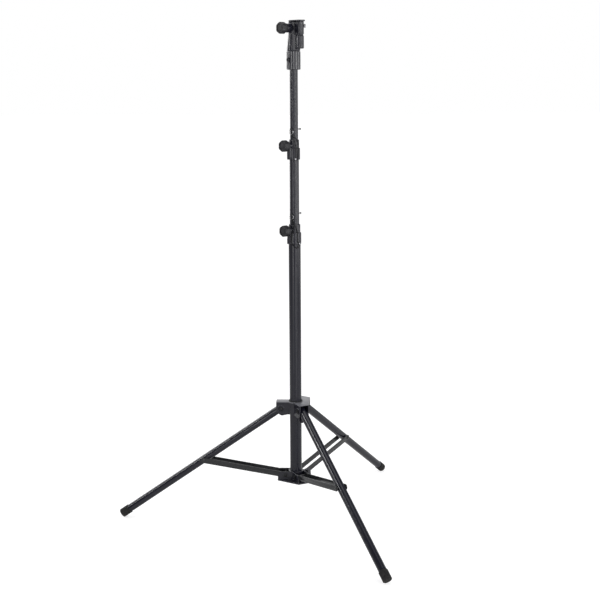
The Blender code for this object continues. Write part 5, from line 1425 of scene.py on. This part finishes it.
def add_legs():
    """Each leg tube hangs from its pivot along its own -Z, with its rubber boot and its brace bolt."""
    tube_end = -LEG_LENGTH + FOOT_CAP_FLOOR + SEAT_GAP
    spacer_start = LEG_RADIUS + SEAT_GAP
    spacer_end = BRACE_BAR_SPREAD - SEAT_GAP
    spacer = [(SPACER_RADIUS, spacer_start), *spacer_rim(spacer_end)]
    shaft_profile = mirrored([(PIVOT_BOLT_RADIUS, spacer_start), *spacer, (0, spacer_end)])
    for name, angle in LEG_ANGLES.items():
        body = f"leg_arm_{name}"
        place = upright(LEG_PIVOT_Z, angle, HUB_PIVOT_REACH) @ Matrix.Rotation(-LEG_TILT, 4, "Y")
        holes = [
            cross_rod(BOLT_HOLE_RADIUS, -2 * LEG_RADIUS, 2 * LEG_RADIUS, crosswise(0, 0, -distance))
            for distance in (0, BRACE_BOLT_ALONG_LEG)
        ]
        tube = cut(tube_mesh(LEG_RADIUS, tube_end, LEG_TAIL), holes)
        add_piece(f"leg_tube_{name}", tube, TUBE_BLACK, body, f"leg_{name}", place)
        add_piece(f"foot_boot_{name}", foot_cap_mesh(), RUBBER, body, f"foot_cap_{name}", place)
        shaft = lathe(shaft_profile, BOLT_SIDES)
        shaft_place = place @ crosswise(0, 0, -BRACE_BOLT_ALONG_LEG)
        add_piece(f"brace_pivot_{name}", shaft, BOLT_BLACK, body, f"brace_bolt_{name}", shaft_place)


def brace_bar_mesh(side):
    """A flat bar with rolled edges and round ends, its inner hole and its outer rivet head."""
    outline = round_end(BRACE_BAR_HEIGHT / 2, BRACE_END_STEPS)
    outline += [(BRACE_LENGTH - x, -y) for x, y in outline]
    inner = BRACE_BAR_SPREAD
    middle = inner + BRACE_BAR_THICKNESS / 2
    outer = inner + BRACE_BAR_THICKNESS
    hole = cross_rod(BOLT_HOLE_RADIUS, -2 * outer, 2 * outer, crosswise(0, 0, 0))
    bar = eased(cut(plate_across(outline, *on_side(side, inner, outer)), [hole]), PRESSED_EDGE)
    seat = outer + BRACE_WASHER_THICKNESS
    rise = BRACE_RIVET_HEIGHT - BRACE_WASHER_THICKNESS
    dome = [(BOLT_HEAD_RADIUS * math.cos(a), seat + rise * math.sin(a)) for a in quarter_turn(7)[1:-1]]
    profile = [
        (0, middle), (WASHER_RADIUS, middle), (WASHER_RADIUS, seat), (BOLT_HEAD_RADIUS, seat), *dome,
        (0, outer + BRACE_RIVET_HEIGHT),
    ]
    facing = Matrix.Identity(4) if side > 0 else Matrix.Rotation(math.pi, 4, "X")
    head = placed(lathe(profile, BOLT_SIDES), crosswise(0, BRACE_LENGTH, 0) @ facing)
    return gathered([bar, head])


def add_braces():
    """Two flat bars for each leg, from their fork of the bracket up to the leg's brace bolt."""
    slope = math.atan2(BRACE_RISE, BRACE_RUN)
    for name, angle in LEG_ANGLES.items():
        place = upright(BRACKET_PIVOT_Z, angle, BRACKET_PIVOT_REACH) @ Matrix.Rotation(-slope, 4, "Y")
        for side, label in ((-1, "left"), (1, "right")):
            add_piece(f"brace_{name}_{label}", brace_bar_mesh(side), BAR_BLACK, f"brace_{name}",
                      f"brace_bar_{name}_{label}", place)


def bracket_casting_mesh():
    """A ring, a three-sided base plate and three forks, cast in one."""
    outer = BRACKET_CHEEK_OUTER
    low = -BRACKET_BELOW_PIVOT
    high = low + BRACKET_HEIGHT
    inside_base = low + BRACKET_BASE_THICKNESS / 2
    root = math.sqrt(BRACKET_RING_RADIUS**2 - outer**2) - FINE_CAST_EDGE
    front = BRACKET_REACH - FINE_CAST_EDGE
    top = high - FINE_CAST_EDGE
    outline = [
        (root, inside_base), (front, inside_base), (front, low + BRACKET_SHOULDER_HEIGHT),
        (BRACKET_TOP_REACH, top), (root, top),
    ]
    corners = []
    cheeks = []
    for angle in LEG_ANGLES.values():
        for side in (-1, 1):
            corners.append(turn(angle) @ Vector((BRACKET_REACH, side * outer, 0)))
            cheek = plate_across(outline, *on_side(side, BRACKET_CHEEK_INNER, outer))
            cheeks.append(placed(cheek, turn(angle)))
    ring = rod(BRACKET_RING_RADIUS, inside_base, high)
    base = prism([(corner.x, corner.y) for corner in corners], low, low + BRACKET_BASE_THICKNESS)
    holes = [
        cross_rod(BOLT_HOLE_RADIUS, -2 * outer, 2 * outer, crosswise(angle, BRACKET_PIVOT_REACH, 0))
        for angle in LEG_ANGLES.values()
    ]
    bore = rod(BRACKET_BORE, 2 * low, 2 * high)
    return cast(cut(united([ring, base, *cheeks]), [bore, *holes]), BRACKET_GRAIN)


def add_bracket():
    """The casting at the column's foot, and the bolt with its spacer in each of its forks."""
    add_piece("bracket_casting", bracket_casting_mesh(), CAST_BLACK, "column", "bracket",
              upright(BRACKET_PIVOT_Z), ALL_SMOOTH)
    for name, angle in LEG_ANGLES.items():
        bolt = bolt_mesh(BRACKET_CHEEK_OUTER, BRACE_BAR_SPREAD - SEAT_GAP)
        add_piece(f"fork_bolt_{name}", bolt, BOLT_BLACK, "column", f"bracket_bolt_{name}",
                  crosswise(angle, BRACKET_PIVOT_REACH, BRACKET_PIVOT_Z))


# Stand head

def head_outside_mesh():
    """Sleeve, tapered body, side barrel and web, and the bosses of the knob and the set screw."""
    flat = HEAD_SLEEVE_RADIUS - HEAD_RIB_HEIGHT
    edge = FINE_CAST_EDGE
    body = lathe([
        (0, 0), (flat - edge, 0), (flat, edge), (flat, HEAD_SLEEVE_HEIGHT - edge),
        (flat - edge, HEAD_SLEEVE_HEIGHT),
        (HEAD_SLEEVE_RADIUS - 2 * HEAD_RIB_DEPTH, HEAD_SLEEVE_HEIGHT + CAST_EDGE),
        (HEAD_SLEEVE_RADIUS - HEAD_RIB_DEPTH / 2, HEAD_SHOULDER_HEIGHT),
        (HEAD_NECK_RADIUS, HEAD_TAPER_HEIGHT), (HEAD_NECK_RADIUS, HEAD_HEIGHT - CAST_EDGE),
        (HEAD_NECK_RADIUS - CAST_EDGE, HEAD_HEIGHT), (0, HEAD_HEIGHT),
    ])
    radius = HEAD_BARREL_RADIUS
    groove = radius - HEAD_BARREL_GROOVE
    barrel = lathe([
        (0, HEAD_BARREL_FLOOR), (radius - HEAD_BARREL_EDGE, HEAD_BARREL_FLOOR),
        (radius, HEAD_BARREL_FLOOR + HEAD_BARREL_EDGE), (radius, HEAD_GROOVE_LOW),
        (groove, HEAD_GROOVE_LOW + HEAD_BARREL_GROOVE), (groove, HEAD_GROOVE_HIGH - HEAD_BARREL_GROOVE),
        (radius, HEAD_GROOVE_HIGH), (radius, HEAD_HEIGHT - CAST_EDGE), (radius - CAST_EDGE, HEAD_HEIGHT),
        (0, HEAD_HEIGHT),
    ])
    web_low = HEAD_BARREL_FLOOR + HEAD_WEB_MARGIN
    web_high = HEAD_HEIGHT - HEAD_WEB_MARGIN / 2
    web_outline = [(0, web_low), (HEAD_BARREL_OFFSET, web_low), (HEAD_BARREL_OFFSET, web_high), (0, web_high)]
    web = placed(plate_across(web_outline, -HEAD_WEB_WIDTH / 2, HEAD_WEB_WIDTH / 2), turn(HEAD_SIDE_ANGLE))
    knob_place = outward(HEAD_KNOB_ANGLE, 0, HEAD_KNOB_HEIGHT)
    knob_boss = cross_rod(HEAD_KNOB_BOSS_RADIUS, 0, HEAD_KNOB_BOSS_REACH, knob_place, CAST_SIDES)
    screw_place = outward(SET_SCREW_ANGLE, 0, SET_SCREW_HEIGHT)
    screw_boss = cross_rod(SCREW_BOSS_RADIUS, 0, HEAD_SLEEVE_RADIUS + SCREW_BOSS_HEIGHT, screw_place)
    barrel = placed(barrel, upright(0, HEAD_SIDE_ANGLE, HEAD_BARREL_OFFSET))
    return united([body, web, barrel, knob_boss, screw_boss])


def head_casting_mesh():
    """The head's outside with the tube's seat, both sockets and the holes of the stud and the screws."""
    high = 2 * HEAD_HEIGHT
    barrel_place = upright(0, HEAD_SIDE_ANGLE, HEAD_BARREL_OFFSET)
    knob_place = outward(HEAD_KNOB_ANGLE, 0, HEAD_KNOB_HEIGHT)
    screw_place = outward(SIDE_SCREW_ANGLE, 0, SIDE_SCREW_HEIGHT)
    screw_place = Matrix.Translation(barrel_place.translation) @ screw_place
    screw_hole = SCREW_SHANK_RADIUS + HOLE_CLEARANCE
    tools = [
        rod(TOP_TUBE_RADIUS + SEAT_GAP, -HEAD_TUBE_SEAT, HEAD_TUBE_SEAT),
        rod(HEAD_SOCKET_RADIUS, HEAD_SOCKET_FLOOR, high),
        placed(rod(HEAD_SIDE_SOCKET_RADIUS, HEAD_SIDE_SOCKET_FLOOR, high), barrel_place),
        cross_rod(STUD_HOLE_RADIUS, 0, 2 * HEAD_KNOB_BOSS_REACH, knob_place),
        cross_rod(screw_hole, 0, 2 * HEAD_SLEEVE_RADIUS, outward(SET_SCREW_ANGLE, 0, SET_SCREW_HEIGHT)),
        cross_rod(screw_hole, 0, 2 * HEAD_BARREL_RADIUS, screw_place),
    ]
    return cast(cut(head_outside_mesh(), tools), HEAD_GRAIN, HEAD_KEPT)


def cap_plate_mesh():
    """The plate on top of the head, round at both ends, with the mouths of both sockets."""
    outline = round_end(CAP_PLATE_RADIUS, CAP_PLATE_END_STEPS)
    far_end = HEAD_BARREL_OFFSET + CAP_PLATE_OVERHANG / 2
    barrel_end = round_end(HEAD_BARREL_RADIUS + CAP_PLATE_OVERHANG, CAP_PLATE_END_STEPS)
    outline += [(far_end - x, -y) for x, y in barrel_end]
    plate = placed(prism(outline, 0, CAP_PLATE_THICKNESS), turn(HEAD_SIDE_ANGLE))
    mouth = rod(HEAD_SOCKET_RADIUS, -CUT_PAST, 2 * CUT_PAST, TUBE_SIDES)
    side_mouth = rod(HEAD_SIDE_SOCKET_RADIUS, -CUT_PAST, 2 * CUT_PAST)
    side_mouth = placed(side_mouth, upright(0, HEAD_SIDE_ANGLE, HEAD_BARREL_OFFSET))
    return eased(cut(plate, [mouth, side_mouth]), CAP_PLATE_EDGE)


def add_head():
    """The casting with the ribs of its sleeve, painted light grey as worn metal and as painted highlight, the
    cap plate, the knob and the two screws.
    """
    body = "top_stage"
    base = upright(HEAD_Z)
    add_piece("head_body", head_casting_mesh(), CAST_BLACK, body, "head_casting", base, ALL_SMOOTH)
    half = HEAD_RIB_HALF_WIDTH
    rib_top = HEAD_SLEEVE_HEIGHT - HEAD_RIB_DEPTH
    rib = rib_mesh(CAST_EDGE, half, HEAD_RIB_HEIGHT, HEAD_RIB_TAPER * half, HEAD_RIB_DEPTH, rib_top)
    rib = eased(rib, TURNED_EDGE)
    # The ribs carry the light grey that is partly worn metal and partly painted highlight.
    ribs = ring_of_copies(rib, HEAD_SLEEVE_RIBS, HEAD_SLEEVE_RADIUS - HEAD_RIB_HEIGHT, RUBBED_RIB_AND_HIGHLIGHT)
    add_piece("head_sleeve_ribs", ribs, RUBBED_RIB_AND_HIGHLIGHT, body, place=base @ turn(HEAD_RIB_PHASE))
    cap_place = upright(HEAD_Z + HEAD_HEIGHT + SEAT_GAP)
    add_piece("cap_plate", cap_plate_mesh(), CAST_BLACK, body, "head_cap_plate", cap_place)
    knob_base = HEAD_KNOB_BOSS_REACH + SEAT_GAP
    knob_place = base @ outward(HEAD_KNOB_ANGLE, knob_base, HEAD_KNOB_HEIGHT)
    stud_length = knob_base - HEAD_SOCKET_RADIUS - SEAT_GAP
    add_knob("spigot_knob", "head_knob", KNOB_LENGTH, stud_length, knob_place, "head_clamp_knob")
    boss_face = HEAD_SLEEVE_RADIUS + SCREW_BOSS_HEIGHT
    screw = screw_mesh(boss_face - TOP_TUBE_RADIUS - SEAT_GAP, BOLT_BLACK)
    screw_place = base @ outward(SET_SCREW_ANGLE, boss_face, SET_SCREW_HEIGHT)
    add_piece("sleeve_screw", screw, BOLT_BLACK, body, "head_set_screw", screw_place)
    barrel_centre = turn(HEAD_SIDE_ANGLE) @ Vector((HEAD_BARREL_OFFSET, 0, 0))
    screw = screw_mesh(HEAD_BARREL_RADIUS - HEAD_SIDE_SOCKET_RADIUS - SEAT_GAP, SCREW_STEEL)
    screw_place = outward(SIDE_SCREW_ANGLE, HEAD_BARREL_RADIUS, SIDE_SCREW_HEIGHT)
    screw_place = base @ Matrix.Translation(barrel_centre) @ screw_place
    add_piece("barrel_screw", screw, SCREW_STEEL, body, "head_side_screw", screw_place)


set_camera()
CORD_BLACK = braided_cord("cord_sheath")
add_lanyard("lower_lanyard", LOWER_LANYARD_ROUTE, LOWER_COLLAR_Z, "column")
add_lanyard("upper_lanyard", UPPER_LANYARD_ROUTE, UPPER_COLLAR_Z, "middle_stage")
bpy.context.scene.view_settings.view_transform = "Standard"
set_floor()
set_world()
set_lamps()
COPIES_TREE = ring_of_copies_tree()

# Each finish with the slot of the record that it fills
Coat = namedtuple("Coat", ["slot", "finish"])
tube_paint = powder_coat("tube_powder_coat", (0.005, 0.005, 0.012), (0.011, 0.011, 0.021))
sliding_paint = powder_coat("sliding_tube_powder_coat", (0.007, 0.007, 0.014), (0.016, 0.016, 0.027), 0.25)
bar_paint = powder_coat("bar_powder_coat", (0.014, 0.015, 0.017), (0.024, 0.025, 0.027))
casting_paint = cast_paint("casting_paint", (0.008, 0.008, 0.015), (0.020, 0.020, 0.030))
# The sleeve ribs' light grey is partly worn bare metal and partly painted highlight along the rib edges.
rib_wear_and_highlight_paint = cast_paint("rubbed_rib_and_painted_highlight", (0.20, 0.20, 0.21), (0.32, 0.32, 0.33))
pin_metal = turned_steel("pin_steel_turned", PIN_AXIS, (0.50, 0.50, 0.51), (0.72, 0.72, 0.73))
ring_metal = turned_steel("ring_steel_drawn", (0.0, 0.0, 1.0), (0.34, 0.34, 0.35), (0.55, 0.55, 0.56))
screw_metal = turned_steel("screw_steel_plated", (1.0, 0.0, 0.0), (0.22, 0.22, 0.23), (0.38, 0.38, 0.40))
TUBE_BLACK = Coat("powder_coat_black", tube_paint)
SLIDING_TUBE_BLACK = Coat("powder_coat_black", sliding_paint)
BAR_BLACK = Coat("steel_bar_black", bar_paint)
CAST_BLACK = Coat("cast_black", casting_paint)
RUBBED_RIB_AND_HIGHLIGHT = Coat("cast_black", rib_wear_and_highlight_paint)
HUB_PLATE = Coat("hub_plate_grey", hub_plate_with_painted_light("hub_plate_satin_with_painted_light"))
KNOB_BLACK = Coat("knob_plastic_black", knob_plastic("knob_plastic"))
NYLON = Coat("nylon_black", nylon_finish("nylon"))
RUBBER = Coat("rubber_black", rubber_finish("foot_rubber"))
BOLT_BLACK = Coat("bolt_steel_black", blackened_steel("blackened_steel"))
PIN_STEEL = Coat("pin_steel", pin_metal)
PIN_TIP_BLACK = Coat("pin_steel", KNOB_BLACK.finish)
RING_STEEL = Coat("pin_steel", ring_metal)
SCREW_STEEL = Coat("screw_steel", screw_metal)

add_tubes()
add_clamp("lower", "column", LOWER_COLLAR_Z, LOWER_TUBE_RADIUS, MIDDLE_TUBE_RADIUS,
          LOWER_SKIRT_WALL, LOWER_BUSH_WALL, LOWER_RIB_REACH, LOWER_EYELET_ANGLE)
add_clamp("upper", "middle_stage", UPPER_COLLAR_Z, MIDDLE_TUBE_RADIUS, TOP_TUBE_RADIUS,
          UPPER_SKIRT_WALL, UPPER_BUSH_WALL, UPPER_RIB_REACH, UPPER_EYELET_ANGLE)
add_safety_pin("lower", MIDDLE_TUBE_RADIUS, LOWER_PIN_Z)
add_safety_pin("upper", TOP_TUBE_RADIUS, UPPER_PIN_Z)
add_hub()
add_legs()
add_braces()
add_bracket()
add_head()
